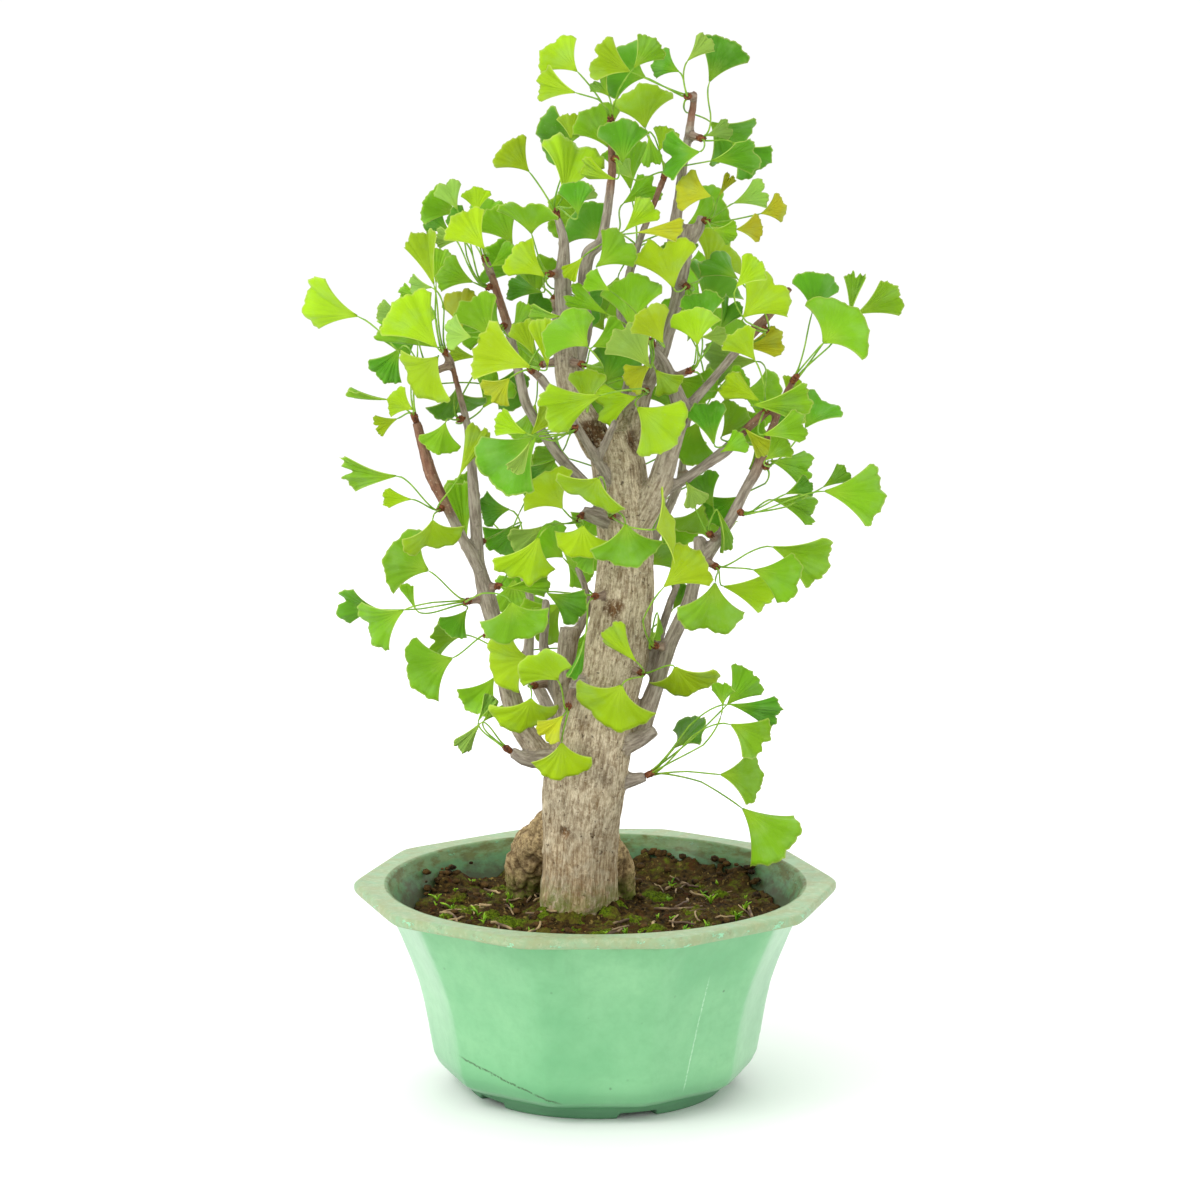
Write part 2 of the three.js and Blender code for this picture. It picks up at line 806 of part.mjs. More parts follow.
    [-96, 344, -36, 263, 24, 122, 20, 0, LIME],
    [-80, 370, -16, 68, 29, 34, 0, 20, LIME],
  ],
  [
    [-66, 331, -2],
    [-76, 331, 12, 97, 33, 34, 0, 20, GREEN],
    [-44, 341, 14, 226, 23, 74, 0, 0, DEEP],
  ],
  [
    [-9, 345, -11],
    [-7, 341, -40, 262, 20, 110, 0, 0, LIME],
    [2, 328, -22, 216, 17, 70, 0, 0, GREEN],
    [-33, 334, -34, 250, 31, 76, 10, 0, LIME],
    [-31, 340, -22, 216, 21, 60, 0, 0, PALE],
    [-19, 350, -34, 130, 24, 90, 0, 0, LIME],
  ],
  [
    [-13, 397, -24],
    [-34, 394, -28, 221, 36, 74, 0, 0, DEEP],
    [-50, 389, -44, 236, 15, 54, 0, 0, PALE],
    [-38, 391, -50, 240, 20, 34, 0, 20, PALE],
    [-40, 395, -44, 156, 19, 52, 0, 0, LIME],
    [-38, 394, -34, 48, 19, 44, 0, 0, LIME],
    [-23, 380, -14, 221, 27, 52, 0, 0, DEEP],
  ],
  [
    [10, 346, -14],
    [18, 342, -34, 272, 27, 96, 0, 0, GREEN],
    [2, 369, -46, 242, 26, 116, 35, 0, LIME],
    [36, 338, -34, 2, 26, 110, 62, 0, LIME],
  ],
  [
    [30, 420, -2],
    [4, 418, -34, 198, 34, 58, 15, 0, LIME],
    [25, 417, -48, 196, 25, 60, 10, 0, LIME],
    [24, 411, -30, -38, 29, 84, 0, 0, LIME],
    [6, 425, -28, 62, 24, 92, 0, 0, DEEP],
  ],
  [
    [-8, 436, -8],
    [-4, 446, -28, 136, 25, 102, 0, 0, GREEN],
    [-5, 410, -42, 88, 21, 58, -10, 0, LIME],
    [-2, 446, -8, 26, 22, 60, 0, 0, GREEN],
  ],
  [
    [0, 298, -16],
    [-29, 300, -20, -28, 24, 62, 0, 0, DEEP],
    [-6, 274, -22, 254, 24, 34, 0, 30, DEEP],
  ],
];

// The back of the crown, which fills in by rule: [bud, number of leaves].
const BACK_SPRAYS = [
  [[14, 366, 92], 5],
  [[2, 298, 74], 4],
  [[-50, 330, 102], 4],
  [[-48, 262, 84], 4],
  [[64, 424, 92], 5],
  [[58, 370, 78], 4],
  [[-24, 474, 72], 4],
  [[-30, 436, 70], 4],
  [[24, 504, 62], 5],
  [[26, 430, 50], 4],
];

// A blade is a fan on a polar grid. "across" runs from -1 at one side to 1 at the other, and "along"
// from 0 at the root to 1 at the margin. Its sides are hollow, its margin waves and may be cleft, and
// its face bows and cups.
function bladePoint(leaf, across, along) {
  const { length, spread, cleft, waves, bow, cup, ripple } = leaf;
  const angle = across * (spread / 2) * (0.55 + 0.45 * along);
  const margin =
    1 -
    0.12 * across ** 4 -
    cleft * Math.exp(-((across / 0.14) ** 2)) +
    0.03 * Math.sin(7 * across + waves) +
    0.015 * Math.sin(15 * across + 2 * waves);
  const reach = along * length * margin;
  const rise =
    length *
    (-bow * along * along +
      cup * across * across * along +
      ripple * along * along * Math.sin(5 * across + waves));
  return leaf.root
    .clone()
    .addScaledVector(leaf.side, reach * Math.sin(angle))
    .addScaledVector(leaf.mid, reach * Math.cos(angle))
    .addScaledVector(leaf.face, rise);
}

// A leaf's stalk leaves its own place round the bud between the shoot's direction and the blade's, and
// runs into the midline. A long one bends halfway.
function stalkPath(leaf, bud) {
  const start = bud.tip
    .clone()
    .addScaledVector(bud.out, GAP + BUD_HEIGHT - 0.35)
    .add(leaf.seat);
  const span = leaf.root.distanceTo(start);
  if (span < LONG_STALK) return [start, leaf.root];
  const leaving = leaf.root
    .clone()
    .sub(start)
    .divideScalar(span)
    .add(bud.out)
    .normalize();
  const curve = new THREE.CubicBezierCurve3(
    start,
    start.clone().addScaledVector(leaving, 0.36 * span),
    leaf.root.clone().addScaledVector(leaf.mid, -0.36 * span),
    leaf.root,
  );
  return [start, curve.getPoint(0.5), leaf.root];
}

function shapeLeaf(row, draw) {
  const [x, z, depth, aim, length, spread, lean, turn] = row;
  const rad = THREE.MathUtils.degToRad;
  const mid = new THREE.Vector3(Math.cos(rad(aim)), 0, Math.sin(rad(aim)));
  const side = new THREE.Vector3(Math.sin(rad(aim)), 0, -Math.cos(rad(aim)));
  const face = new THREE.Vector3(0, -1, 0);
  const nod = rad(lean + 36 * (draw() - 0.5));
  const twist = rad(turn + 64 * (draw() - 0.5));
  mid.applyAxisAngle(side, -nod);
  face.applyAxisAngle(side, -nod);
  side.applyAxisAngle(mid, -twist);
  face.applyAxisAngle(mid, -twist);
  return {
    x,
    z,
    depth,
    length: length * LONGER,
    spread: rad(Math.min(spread * WIDER, WIDEST)),
    mid,
    side,
    face,
    bow: -0.04 + 0.24 * draw(),
    cup: -0.1 + 0.3 * draw(),
    ripple: 0.03 + 0.05 * draw(),
    waves: 2 * Math.PI * draw(),
    cleft: Math.max(0, 0.5 * draw() - 0.28),
  };
}

// The stalks of a spray stand in a ring in their bud, in the order in which their leaves lie round it.
function seatStalks(leaves, bud) {
  const right = new THREE.Vector3(0, 1, 0).cross(bud.out).normalize();
  const up = bud.out.clone().cross(right);
  const heading = (leaf) => {
    const away = place(leaf.x, leaf.z, leaf.depth).sub(bud.tip);
    return Math.atan2(away.dot(up), away.dot(right));
  };
  const order = [...leaves].sort((a, b) => heading(a) - heading(b));
  const ring = STALK_RADIUS / Math.sin(Math.PI / Math.max(3, order.length));
  bud.sides = THREE.MathUtils.clamp(order.length, 4, 6);
  bud.radius = (ring + STALK_RADIUS + 0.3) / Math.cos(Math.PI / bud.sides);
  const start = heading(order[0]);
  order.forEach((leaf, i) => {
    const angle = start + (2 * Math.PI * i) / order.length;
    leaf.seat = new THREE.Vector3()
      .addScaledVector(right, ring * Math.cos(angle))
      .addScaledVector(up, ring * Math.sin(angle));
  });
}

// Points that stand for a leaf when it is kept clear of the others, each [x, y, z].
const ACROSS = [-1, -0.67, -0.33, 0, 0.33, 0.67, 1];
const ALONG = [0.3, 0.55, 0.8, 1];
const STALK_STEP = 3;

function outlinePoints(leaf, bud) {
  const path = stalkPath(leaf, bud);
  return {
    root: leaf.root,
    blade: ALONG.flatMap((along) =>
      ACROSS.map((across) => bladePoint(leaf, across, along).toArray()),
    ),
    stalk: path.slice(1).flatMap((to, i) => {
      const from = path[i];
      const parts = Math.ceil(from.distanceTo(to) / STALK_STEP);
      return Array.from({ length: parts }, (_, k) =>
        from.clone().lerp(to, (k + 1) / (parts + 1)).toArray(),
      );
    }),
  };
}

// How much closer than they should be two sets of points come, as a negative number.
function slack(points, others, need) {
  let worst = Infinity;
  for (const [ax, ay, az] of points)
    for (const [bx, by, bz, radius = 0] of others) {
      const d = Math.hypot(ax - bx, ay - by, az - bz) - radius - need;
      if (d < worst) worst = d;
    }
  return worst;
}

const NEIGHBOURS = 100; // leaves rooted further apart never meet
const BLADE_TO_BLADE = 6.5;
const BLADE_TO_STALK = 4.2;
const STALK_TO_STALK = 2.8;
const BLADE_TO_WOOD = 3;
const STALK_TO_WOOD = 1.6;
const SLIDES = [0, -7, 7, -14, 14, -21, 21, -28, 28, -36, 36, -44, 44, -52];

// Slides each leaf along its line of sight to the first depth at which it clears all that is there
// already. Leaves that fill in come last, and where one finds no room it is left out.
function settle(sprays, wood) {
  const settled = sprays.map(({ bud }) => {
    const middle = bud.tip.clone().addScaledVector(bud.out, BUD_HEIGHT / 2);
    return { bud, root: middle, blade: [[...middle, BUD_RADIUS]], stalk: [] };
  });
  const all = sprays.flatMap(({ bud, leaves }) => leaves.map((leaf) => ({ bud, leaf })));
  for (const { bud, leaf } of all.sort((a, b) => a.leaf.filling - b.leaf.filling)) {
    let best = null;
    for (const slide of SLIDES) {
      leaf.root = place(leaf.x, leaf.z, leaf.depth + slide);
      const outline = outlinePoints(leaf, bud);
      let room = Math.min(
        slack(outline.blade, wood, BLADE_TO_WOOD),
        slack(outline.stalk.slice(2), wood, STALK_TO_WOOD),
      );
      for (const other of settled) {
        if (room < (best ? best.room : -Infinity)) break;
        if (leaf.root.distanceTo(other.root) > NEIGHBOURS) continue;
        const own = other.bud === bud ? 3 : 0;
        room = Math.min(
          room,
          slack(outline.blade, other.blade, BLADE_TO_BLADE),
          slack(outline.blade, other.stalk.slice(own), BLADE_TO_STALK),
          slack(outline.stalk.slice(own), other.blade, BLADE_TO_STALK),
          slack(
            outline.stalk.slice(own),
            other.stalk.slice(own),
            STALK_TO_STALK,
          ),
        );
      }
      if (!best || room > best.room) best = { room, root: leaf.root, outline };
      if (room >= 0) break;
    }
    leaf.root = best.root;
    leaf.dropped = leaf.filling && best.room < 0;
    if (!leaf.dropped) settled.push({ ...best.outline, bud });
  }
  for (const spray of sprays) spray.leaves = spray.leaves.filter((leaf) => !leaf.dropped);
}

// The nearest bark to a point: the spot on a limb's axis, and the limb's radius there.
function nearestWood(point, spines) {
  let best = null;
  const line = new THREE.Line3();
  for (const nodes of spines)
    for (let i = 0; i + 1 < nodes.length; i++) {
      line.set(nodes[i].centre, nodes[i + 1].centre);
      const t = line.closestPointToPointParameter(point, true);
      const axis = line.at(t, new THREE.Vector3());
      const radius = nodes[i].radius * (1 - t) + nodes[i + 1].radius * t;
      const away = point.distanceTo(axis) - radius;
      if (!best || away < best.away) best = { away, axis, radius };
    }
  return best;
}

// A bud sits on the bark, or on the tip of a short shoot where it stands further out than SHOOT_REACH.
function seatBud([x, z, depth], spines) {
  const wanted = place(x, z, depth);
  const { axis, radius } = nearestWood(wanted, spines);
  const out = wanted.clone().sub(axis).normalize();
  const distance = wanted.distanceTo(axis);
  const carried = distance > radius + SHOOT_REACH;
  const tip = axis.clone().addScaledVector(out, carried ? distance : radius);
  return { axis, out, tip, carried };
}

// Rows of leaves that fill in by rule: spaced round their bud, jittered, facing the viewer or away.
function fillRows([x, z, depth], count, away, draw) {
  const start = 360 * draw();
  return Array.from({ length: count }, (_, i) => {
    const around = start + 360 * ((i + 0.6 * draw()) / count);
    const reach = 20 + 14 * draw();
    const rad = THREE.MathUtils.degToRad(around);
    return [
      x + reach * Math.cos(rad),
      z + 6 + reach * Math.sin(rad),
      depth + (away ? 2 : 10) + 20 * draw(),
      around + 40 * (draw() - 0.5),
      21 + 8 * draw(),
      60 + 40 * draw(),
      (away ? -40 : 30) * draw(),
      (away ? 180 : 0) + 40 * (draw() - 0.5),
      away ? GREEN : DEEP,
    ];
  });
}

// How many filling leaves a bud bears beside its rows.
function fillingOf([, height], rows) {
  if (height < CROWN_FOOT) return 0;
  return THREE.MathUtils.clamp(FULL_BUD - rows.length, 0, MOST_FILLING);
}

const spines = [trunkSpine, ...Object.values(limbSpines)];
const draw = generator(SEED);
const sprays = [
  ...SPRAYS.map(([at, ...rows]) => [at, rows, fillingOf(at, rows), false]),
  ...BACK_SPRAYS.map(([at, count]) => [at, [], count, true]),
].map(([at, rows, count, away]) => {
  const all = [...rows, ...fillRows(at, count, away, draw)];
  return {
    bud: seatBud(at, spines),
    leaves: all.map((row, i) => ({
      ...shapeLeaf(row, draw),
      filling: i >= rows.length,
    })),
    tone: all[0][8],
  };
});

const woodPoints = [
  ...spines.flatMap((nodes) =>
    nodes.slice(1).flatMap((node, i) => {
      const from = nodes[i];
      const parts = Math.ceil(from.centre.distanceTo(node.centre) / 5);
      return Array.from({ length: parts }, (_, k) => {
        const t = (k + 1) / parts;
        const centre = from.centre.clone().lerp(node.centre, t);
        return [...centre.toArray(), from.radius * (1 - t) + node.radius * t];
      });
    }),
  ),
  ...sprays.map(({ bud }) => [...bud.tip.toArray(), SHOOT_RADIUS]),
];
for (const { leaves, bud } of sprays) seatStalks(leaves, bud);
settle(sprays, woodPoints);

// ---- Leaves as solids ---------------------------------------------------------------------------

// Rings of points along the stalk: two above and one below, named twice. The first lies in the bud, flat
// with its top, and the last, mitred between stalk and midline, carries the blade. Where the blade
// climbs steeply to one side, the last ring has a corner below each of its upper ones, or the two faces
// would cross beside it.
function stalkRings(leaf, bud, steep) {
  const path = stalkPath(leaf, bud);
  const rings = [];
  const side = leaf.side.clone();
  for (let i = path.length - 1; i >= 0; i--) {
    const along = path[Math.min(i + 1, path.length - 1)]
      .clone()
      .sub(path[Math.max(i - 1, 0)])
      .normalize();
    if (i === 0 && along.dot(bud.out) > 0.25) along.copy(bud.out);
    if (i === path.length - 1) along.add(leaf.mid).normalize();
    side.addScaledVector(along, -side.dot(along)).normalize();
    const face = side.clone().cross(along);
    const at = (a, b) =>
      path[i]
        .clone()
        .addScaledVector(side, a * STALK_RADIUS)
        .addScaledVector(face, b * STALK_RADIUS);
    const below = at(0, -1);
    const square = steep && i === path.length - 1;
    rings.unshift([
      at(-1, 0.5),
      at(1, 0.5),
      square ? at(1, -0.7) : below,
      square ? at(-1, -0.7) : below,
    ]);
  }
  return rings;
}

// The stalk's last ring opens into the two faces of the blade, which are split into triangles alike.
function leafSolid(leaf, bud) {
  const triangles = [];
  const triangle = (...corners) => {
    if (new Set(corners).size === 3) triangles.push(...corners);
  };
  const quad = (a, b, c, d) => {
    triangle(a, b, c);
    triangle(a, c, d);
  };
  const steps = leaf.length > LARGE_BLADE ? 6 : 4;
  const margin = (lift) =>
    Array.from({ length: steps + 1 }, (_, i) =>
      bladePoint(leaf, (2 * i) / steps - 1, 1).addScaledVector(leaf.face, lift),
    );
  const top = margin(BLADE_THICKNESS / 2);
  const low = margin(-BLADE_THICKNESS / 2);
  const steep = top.slice(1).some((point, i) => {
    const run = point.clone().sub(top[i]);
    return Math.abs(run.dot(leaf.face)) > STEEP * Math.abs(run.dot(leaf.side));
  });
  const rings = stalkRings(leaf, bud, steep);
  triangle(rings[0][0], rings[0][2], rings[0][1]);
  for (let k = 0; k + 1 < rings.length; k++)
    for (let j = 0; j < 4; j++) {
      const next = (j + 1) % 4;
      quad(rings[k][j], rings[k][next], rings[k + 1][next], rings[k + 1][j]);
    }
  const [left, right, lowRight, lowLeft] = rings.at(-1);
  triangle(left, right, top[steps / 2]);
  triangle(lowRight, lowLeft, low[steps / 2]);
  for (let i = 0; i < steps; i++) {
    const first = i < steps / 2;
    triangle(first ? left : right, top[i + 1], top[i]);
    triangle(first ? lowLeft : lowRight, low[i], low[i + 1]);
    quad(top[i], top[i + 1], low[i + 1], low[i]);
  }
  quad(left, top[0], low[0], lowLeft);
  quad(top[steps], right, lowRight, low[steps]);
  return solid(new THREE.BufferGeometry().setFromPoints(triangles));
}

function straight(from, to, radiusFrom, radiusTo) {
  return [
    { centre: from, radius: radiusFrom },
    { centre: to, radius: radiusTo },
  ];
}

// A bud reaches down as far as it can without touching the faceted bark.
function budSolid(bud, wood) {
  const reach = (height) => bud.tip.clone().addScaledVector(bud.out, height);
  const built = (foot, radius) =>
    limb(
      straight(reach(foot), reach(GAP + BUD_HEIGHT), radius, bud.radius),
      bud.sides,
    );
  let foot = GAP;
  while (
    foot > -SHOOT_REACH &&
    wood.intersect(built(foot - 2 * GAP, BUD_RADIUS + GAP)).volume() === 0
  )
    foot -= GAP;
  return built(foot, BUD_RADIUS);
}

function spraySolid({ bud, leaves }, wood) {
  let spray = budSolid(bud, wood);
  for (const leaf of leaves) spray = spray.add(leafSolid(leaf, bud));
  return spray;
}

// ---- The pieces put together --------------------------------------------------------------------

function sidesOf(nodes) {
  const widest = Math.max(...nodes.map((node) => node.radius));
  return widest > 10 ? 8 : widest > 7 ? 6 : widest > 5 ? 5 : 4;
}

const trunk = limb(trunkSpine, TRUNK_SIDES, 0, fluted);
let wood = trunk;
for (const nodes of Object.values(limbSpines))
  wood = wood.add(limb(nodes, sidesOf(nodes)));
for (const { bud } of sprays) {
  if (!bud.carried) continue;
  const shoot = straight(bud.axis, bud.tip, SHOOT_RADIUS * 1.2, SHOOT_RADIUS * 1.1);
  wood = wood.add(limb(shoot, 3));
}

// The soil fills the pot, rises a little to the trunk, and is holed plainly where the trunk and roots
// stand in it.
function makeSoil() {
  const wall = INSIDE.filter(([, height]) => height < SOIL_HEIGHT);
  const [below, above] = [INSIDE[wall.length - 1], INSIDE[wall.length]];
  const rise = (SOIL_HEIGHT - below[1]) / (above[1] - below[1]);
  const edge = below[0] + (above[0] - below[0]) * rise;
  const surface = [0.88, 0.66, 0.44, 0].map((share) => [
    edge * share,
    SOIL_HEIGHT + SOIL_MOUND * (1 - share),
  ]);
  const profile = [
    [0, FLOOR_HEIGHT + GAP],
    ...wall.map(([r, h]) => [r - GAP - 0.1, h + GAP]),
    [edge - GAP - 0.1, SOIL_HEIGHT],
    ...surface,
  ];
  const geometry = turned(profile, ROUND_STEPS);
  const positions = geometry.attributes.position;
  for (let i = 0; i < positions.count; i++) {
    const [x, y, z] = [positions.getX(i), positions.getY(i), positions.getZ(i)];
    const lumps = Math.sin(x / 9 + 1) * Math.cos(y / 11) + Math.sin((x - y) / 6);
    const inner = Math.min(1, Math.max(0, (edge - Math.hypot(x, y)) / 8));
    if (z > SOIL_HEIGHT) positions.setZ(i, z + 1.2 * lumps * inner);
  }
  let soil = solid(geometry).subtract(limb(trunkSpine, TRUNK_SIDES, HOLE_GAP, fluted));
  for (const [name, nodes] of Object.entries(limbSpines))
    if (name.startsWith("root"))
      soil = soil.subtract(limb(nodes, sidesOf(nodes), HOLE_GAP));
  const pieces = soil.decompose().sort((a, b) => b.volume() - a.volume());
  return pieces[0];
}

const bonsai = new THREE.Group();
bonsai.name = "ginkgo_bonsai";
bonsai.add(mesh("pot", makePot(), 0x9dc7ae, 0.35));
bonsai.add(mesh("soil", makeSoil(), 0x3b2f22, 0.95));
bonsai.add(mesh("trunk_and_branches", wood, 0x9a8a75, 0.85));
sprays.forEach((spray, i) => {
  const name = "spray_" + String(i + 1).padStart(2, "0");
  bonsai.add(mesh(name, spraySolid(spray, wood), spray.tone, 0.5));
});

// The crown leans out past the pot, so the whole is shifted to stand centred on the origin.
const bounds = new THREE.Box3().setFromObject(bonsai);
const middle = bounds.getCenter(new THREE.Vector3());
bonsai.position.set(-middle.x, -middle.y, 0);

export default bonsai;
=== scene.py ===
"""A ginkgo bonsai in its glazed ten-sided pot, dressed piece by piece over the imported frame."""

import bpy
import numpy as np
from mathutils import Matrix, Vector


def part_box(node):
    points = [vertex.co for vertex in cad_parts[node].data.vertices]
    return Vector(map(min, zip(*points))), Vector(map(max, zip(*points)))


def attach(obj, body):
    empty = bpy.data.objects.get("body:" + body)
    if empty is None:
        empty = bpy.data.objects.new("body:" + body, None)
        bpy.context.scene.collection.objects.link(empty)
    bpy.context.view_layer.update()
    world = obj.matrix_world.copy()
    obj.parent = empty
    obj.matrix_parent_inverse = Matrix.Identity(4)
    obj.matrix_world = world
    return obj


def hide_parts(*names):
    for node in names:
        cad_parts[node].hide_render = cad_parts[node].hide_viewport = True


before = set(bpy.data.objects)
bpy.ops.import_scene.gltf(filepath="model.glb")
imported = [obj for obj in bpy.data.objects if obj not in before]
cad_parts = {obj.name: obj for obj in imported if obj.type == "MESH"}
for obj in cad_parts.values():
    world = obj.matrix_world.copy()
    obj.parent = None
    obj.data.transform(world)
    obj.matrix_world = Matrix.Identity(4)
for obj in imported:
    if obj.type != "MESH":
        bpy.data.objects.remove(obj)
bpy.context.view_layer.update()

# ---- The pot --------------------------------------------------------------------------------------
# One slip-cast stoneware casting with ten flat sides that flare up to a flat lip, and a round mouth.
# It is glazed mint green inside and out, and stands on a bare notched foot ring.

MM = 0.001
POT_SIDES = 10
POT_TURN = np.radians(19)  # first corner to the right of the front, seen from above
RIM_HEIGHT = 125.0
LIP_CORNER = 146.0
MOUTH_RADIUS = 124.0
FOOT_OUTER = 77.4
FOOT_INNER = 68.0
DRAIN_RADIUS = 12.0
FLOOR_HEIGHT = 16.0
NOTCHES = 5
NOTCH_WIDTH = 24.0
NOTCH_HEIGHT = 3.5

pot_low, pot_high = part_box("pot")
AXIS = (np.array(pot_low[:2]) + np.array(pot_high[:2])) / 2 / MM  # the pot's own middle, in mm


def shape(name, points, faces):
    """A piece from points in millimetres about the pot's axis, moved to the frame's origin. Its faces
    come in groups, each an array with a row of corners for every face."""
    points = np.asarray(points, float).reshape(-1, 3)
    points = (points + [AXIS[0], AXIS[1], 0]) * MM
    mesh = bpy.data.meshes.new(name)
    mesh.vertices.add(len(points))
    mesh.vertices.foreach_set("co", points.astype(np.float32).ravel())
    sizes = [np.full(len(group), group.shape[1]) for group in faces]
    corners = np.concatenate([group.ravel() for group in faces])
    sizes = np.concatenate(sizes)
    mesh.loops.add(len(corners))
    mesh.loops.foreach_set("vertex_index", corners.astype(np.int32))
    mesh.polygons.add(len(sizes))
    mesh.polygons.foreach_set("loop_start", (np.cumsum(sizes) - sizes).astype(np.int32))
    mesh.polygons.foreach_set("use_smooth", np.ones(len(sizes), bool))
    mesh.update(calc_edges=True)
    mesh.validate()
    piece = bpy.data.objects.new(name, mesh)
    bpy.context.scene.collection.objects.link(piece)
    return piece


def grid_faces(rows, columns, loop_rows=False, loop_columns=False):
    """Quads of a grid of points counted row by row. A loop joins the last one to the first."""
    i = np.arange(rows if loop_rows else rows - 1)[:, None]
    j = np.arange(columns if loop_columns else columns - 1)[None, :]
    a, b = i * columns + j, i * columns + (j + 1) % columns
    c, d = (i + 1) % rows * columns + (j + 1) % columns, (i + 1) % rows * columns + j
    return np.stack([a, b, c, d], -1).reshape(-1, 4)


def repeated(faces, count, size):
    """The faces of one thing for each of a number of things that have size points each."""
    return np.concatenate([faces + i * size for i in range(count)])


def turns(count):
    """Angles evenly round a circle."""
    return np.arange(count) * 2 * np.pi / count


def polar(reach, theta):
    """x and y at a distance from the pot's axis, with the angle counted from the front."""
    return reach * np.sin(theta), -reach * np.cos(theta)


def hashed(cells, seed):
    """A number from 0 to 1 for each integer cell: its coordinates times large odd numbers, mixed."""
    cells = cells.astype(np.int64)
    mixed = cells[..., 0] * 374761393 + cells[..., 1] * 668265263 + cells[..., 2] * 2147483647
    mixed = (mixed + seed * 974711) & 0xFFFFFFFF
    mixed = ((mixed ^ (mixed >> 13)) * 1274126177) & 0xFFFFFFFF
    mixed = ((mixed ^ (mixed >> 16)) * 2246822519) & 0xFFFFFFFF
    return (mixed ^ (mixed >> 15)) / 4294967296.0


def lumps(points, size, seed):
    """Smooth noise from -1 to 1: random values at the corners of cubes, blended in between."""
    scaled = np.asarray(points) / size
    cell = np.floor(scaled)
    part = scaled - cell
    part = part * part * (3 - 2 * part)
    total = np.zeros(scaled.shape[:-1])
    for corner in np.ndindex(2, 2, 2):
        weight = np.prod(np.where(corner, part, 1 - part), axis=-1)
        total += weight * hashed(cell + np.array(corner), seed)
    return 2 * total - 1


def rounded(profile):
    """A profile of rows of numbers with long stretches divided and each corner cut off twice."""
    longest, cuts = 5.0, 2
    profile = np.asarray(profile, float)
    stretch = np.linalg.norm(np.roll(profile, -1, 0)[:, :2] - profile[:, :2], axis=1)
    parts = np.maximum(1, np.ceil(stretch / longest)).astype(int)
    at = np.concatenate([i + np.arange(n) / n for i, n in enumerate(parts)])
    whole = np.vstack([profile, profile[:1]])
    columns = [np.interp(at, np.arange(len(whole)), whole[:, k]) for k in range(whole.shape[1])]
    dense = np.stack(columns, 1)
    for _ in range(cuts):
        after = np.roll(dense, -1, 0)
        dense = np.stack([0.75 * dense + 0.25 * after, 0.25 * dense + 0.75 * after], 1)
        dense = dense.reshape(-1, whole.shape[1])
    return dense


def ten_sided(corner, theta):
    """Distance to a regular polygon's side at angle theta, its corners eased by a soft minimum."""
    side = 2 * np.pi / POT_SIDES
    phi = (theta - POT_TURN + side / 2) % side - side / 2
    flat = corner * np.cos(side / 2) / np.cos(side / 2 - np.abs(phi))
    ease = 1.1
    cap = corner * 0.994
    return -np.log(np.exp(-(flat - cap) / ease) + 1) * ease + cap


# Rows of radius, height and roundness, where 0 keeps the ten sides and 1 is a circle. The profile runs
# from the drain hole under the floor, out over the foot, up the body, over the lip and down inside.
# fmt: off
POT_PROFILE = [
    (DRAIN_RADIUS, FLOOR_HEIGHT, 1), (DRAIN_RADIUS, 12, 1), (DRAIN_RADIUS + 1, 7.6, 1),
    (DRAIN_RADIUS + 3, 7, 1), (40, 7, 1), (64, 7, 1), (67, 6.4, 1), (FOOT_INNER, 4, 1),
    (FOOT_INNER, 1.6, 1), (FOOT_INNER + 1, 0, 1), (FOOT_INNER + 3, 0, 1), (FOOT_OUTER - 3, 0, 1),
    (FOOT_OUTER - 1, 0, 1), (FOOT_OUTER, 1.6, 1), (FOOT_OUTER + 0.2, 5, 1), (79, 7.2, 0.8),
    (83, 7.9, 0.1), (90, 10, 0), (95.7, 13.8, 0), (98.7, 20, 0), (99.9, 26.4, 0), (101.7, 38, 0),
    (104.1, 51, 0), (107.1, 63.6, 0), (111.3, 76, 0), (118.2, 93, 0), (126, 110, 0),
    (129, 116.6, 0), (130.6, 118, 0), (133, 118.1, 0), (142, 118.2, 0), (145, 118.8, 0),
    (LIP_CORNER, 120.4, 0), (LIP_CORNER, 122, 0), (LIP_CORNER - 0.2, 123.8, 0),
    (LIP_CORNER - 1.6, RIM_HEIGHT, 0), (LIP_CORNER - 4, RIM_HEIGHT, 0),
    (LIP_CORNER - 10, RIM_HEIGHT - 0.3, 0.1), (128, RIM_HEIGHT - 0.3, 0.9),
    (MOUTH_RADIUS + 1.6, RIM_HEIGHT - 0.4, 1), (MOUTH_RADIUS + 0.2, RIM_HEIGHT - 1.4, 1),
    (MOUTH_RADIUS - 0.8, RIM_HEIGHT - 3.4, 1), (101, 83, 1), (87, 26, 1), (84, 19, 1),
    (80, FLOOR_HEIGHT + 0.4, 1), (74, FLOOR_HEIGHT, 1), (DRAIN_RADIUS + 2, FLOOR_HEIGHT, 1),
]
# fmt: on


def pot_points(columns):
    """Each profile row is turned about the axis: its radius is a blend of the polygon and the circle.
    The foot's lowest rows are lifted inside the notches, and slow lumps of 0.3 mm keep it hand-made."""
    radius, height, round_share = rounded(POT_PROFILE).T[:, :, None]
    theta = turns(columns)
    reach = (1 - round_share) * ten_sided(radius, theta) + round_share * radius
    x, y = polar(reach, theta)
    pitch = 2 * np.pi / NOTCHES
    off = np.abs((theta - POT_TURN + pitch / 2) % pitch - pitch / 2) * FOOT_OUTER
    notch = np.clip((NOTCH_WIDTH / 2 - off) / 1.2 + 0.5, 0, 1) * (radius < 79) * (radius > 60)
    z = np.maximum(height + 0 * theta, NOTCH_HEIGHT * notch)
    points = np.stack([x, y, z], -1)
    swell = 0.3 * lumps(points, 34, 3) * (height > 30) * (height < 116)
    points[..., :2] += points[..., :2] / reach[..., None] * swell[..., None]
    return points


pot_surface = pot_points(420)
pot = shape("glazed_pot", pot_surface, [grid_faces(*pot_surface.shape[:2], True, True)])


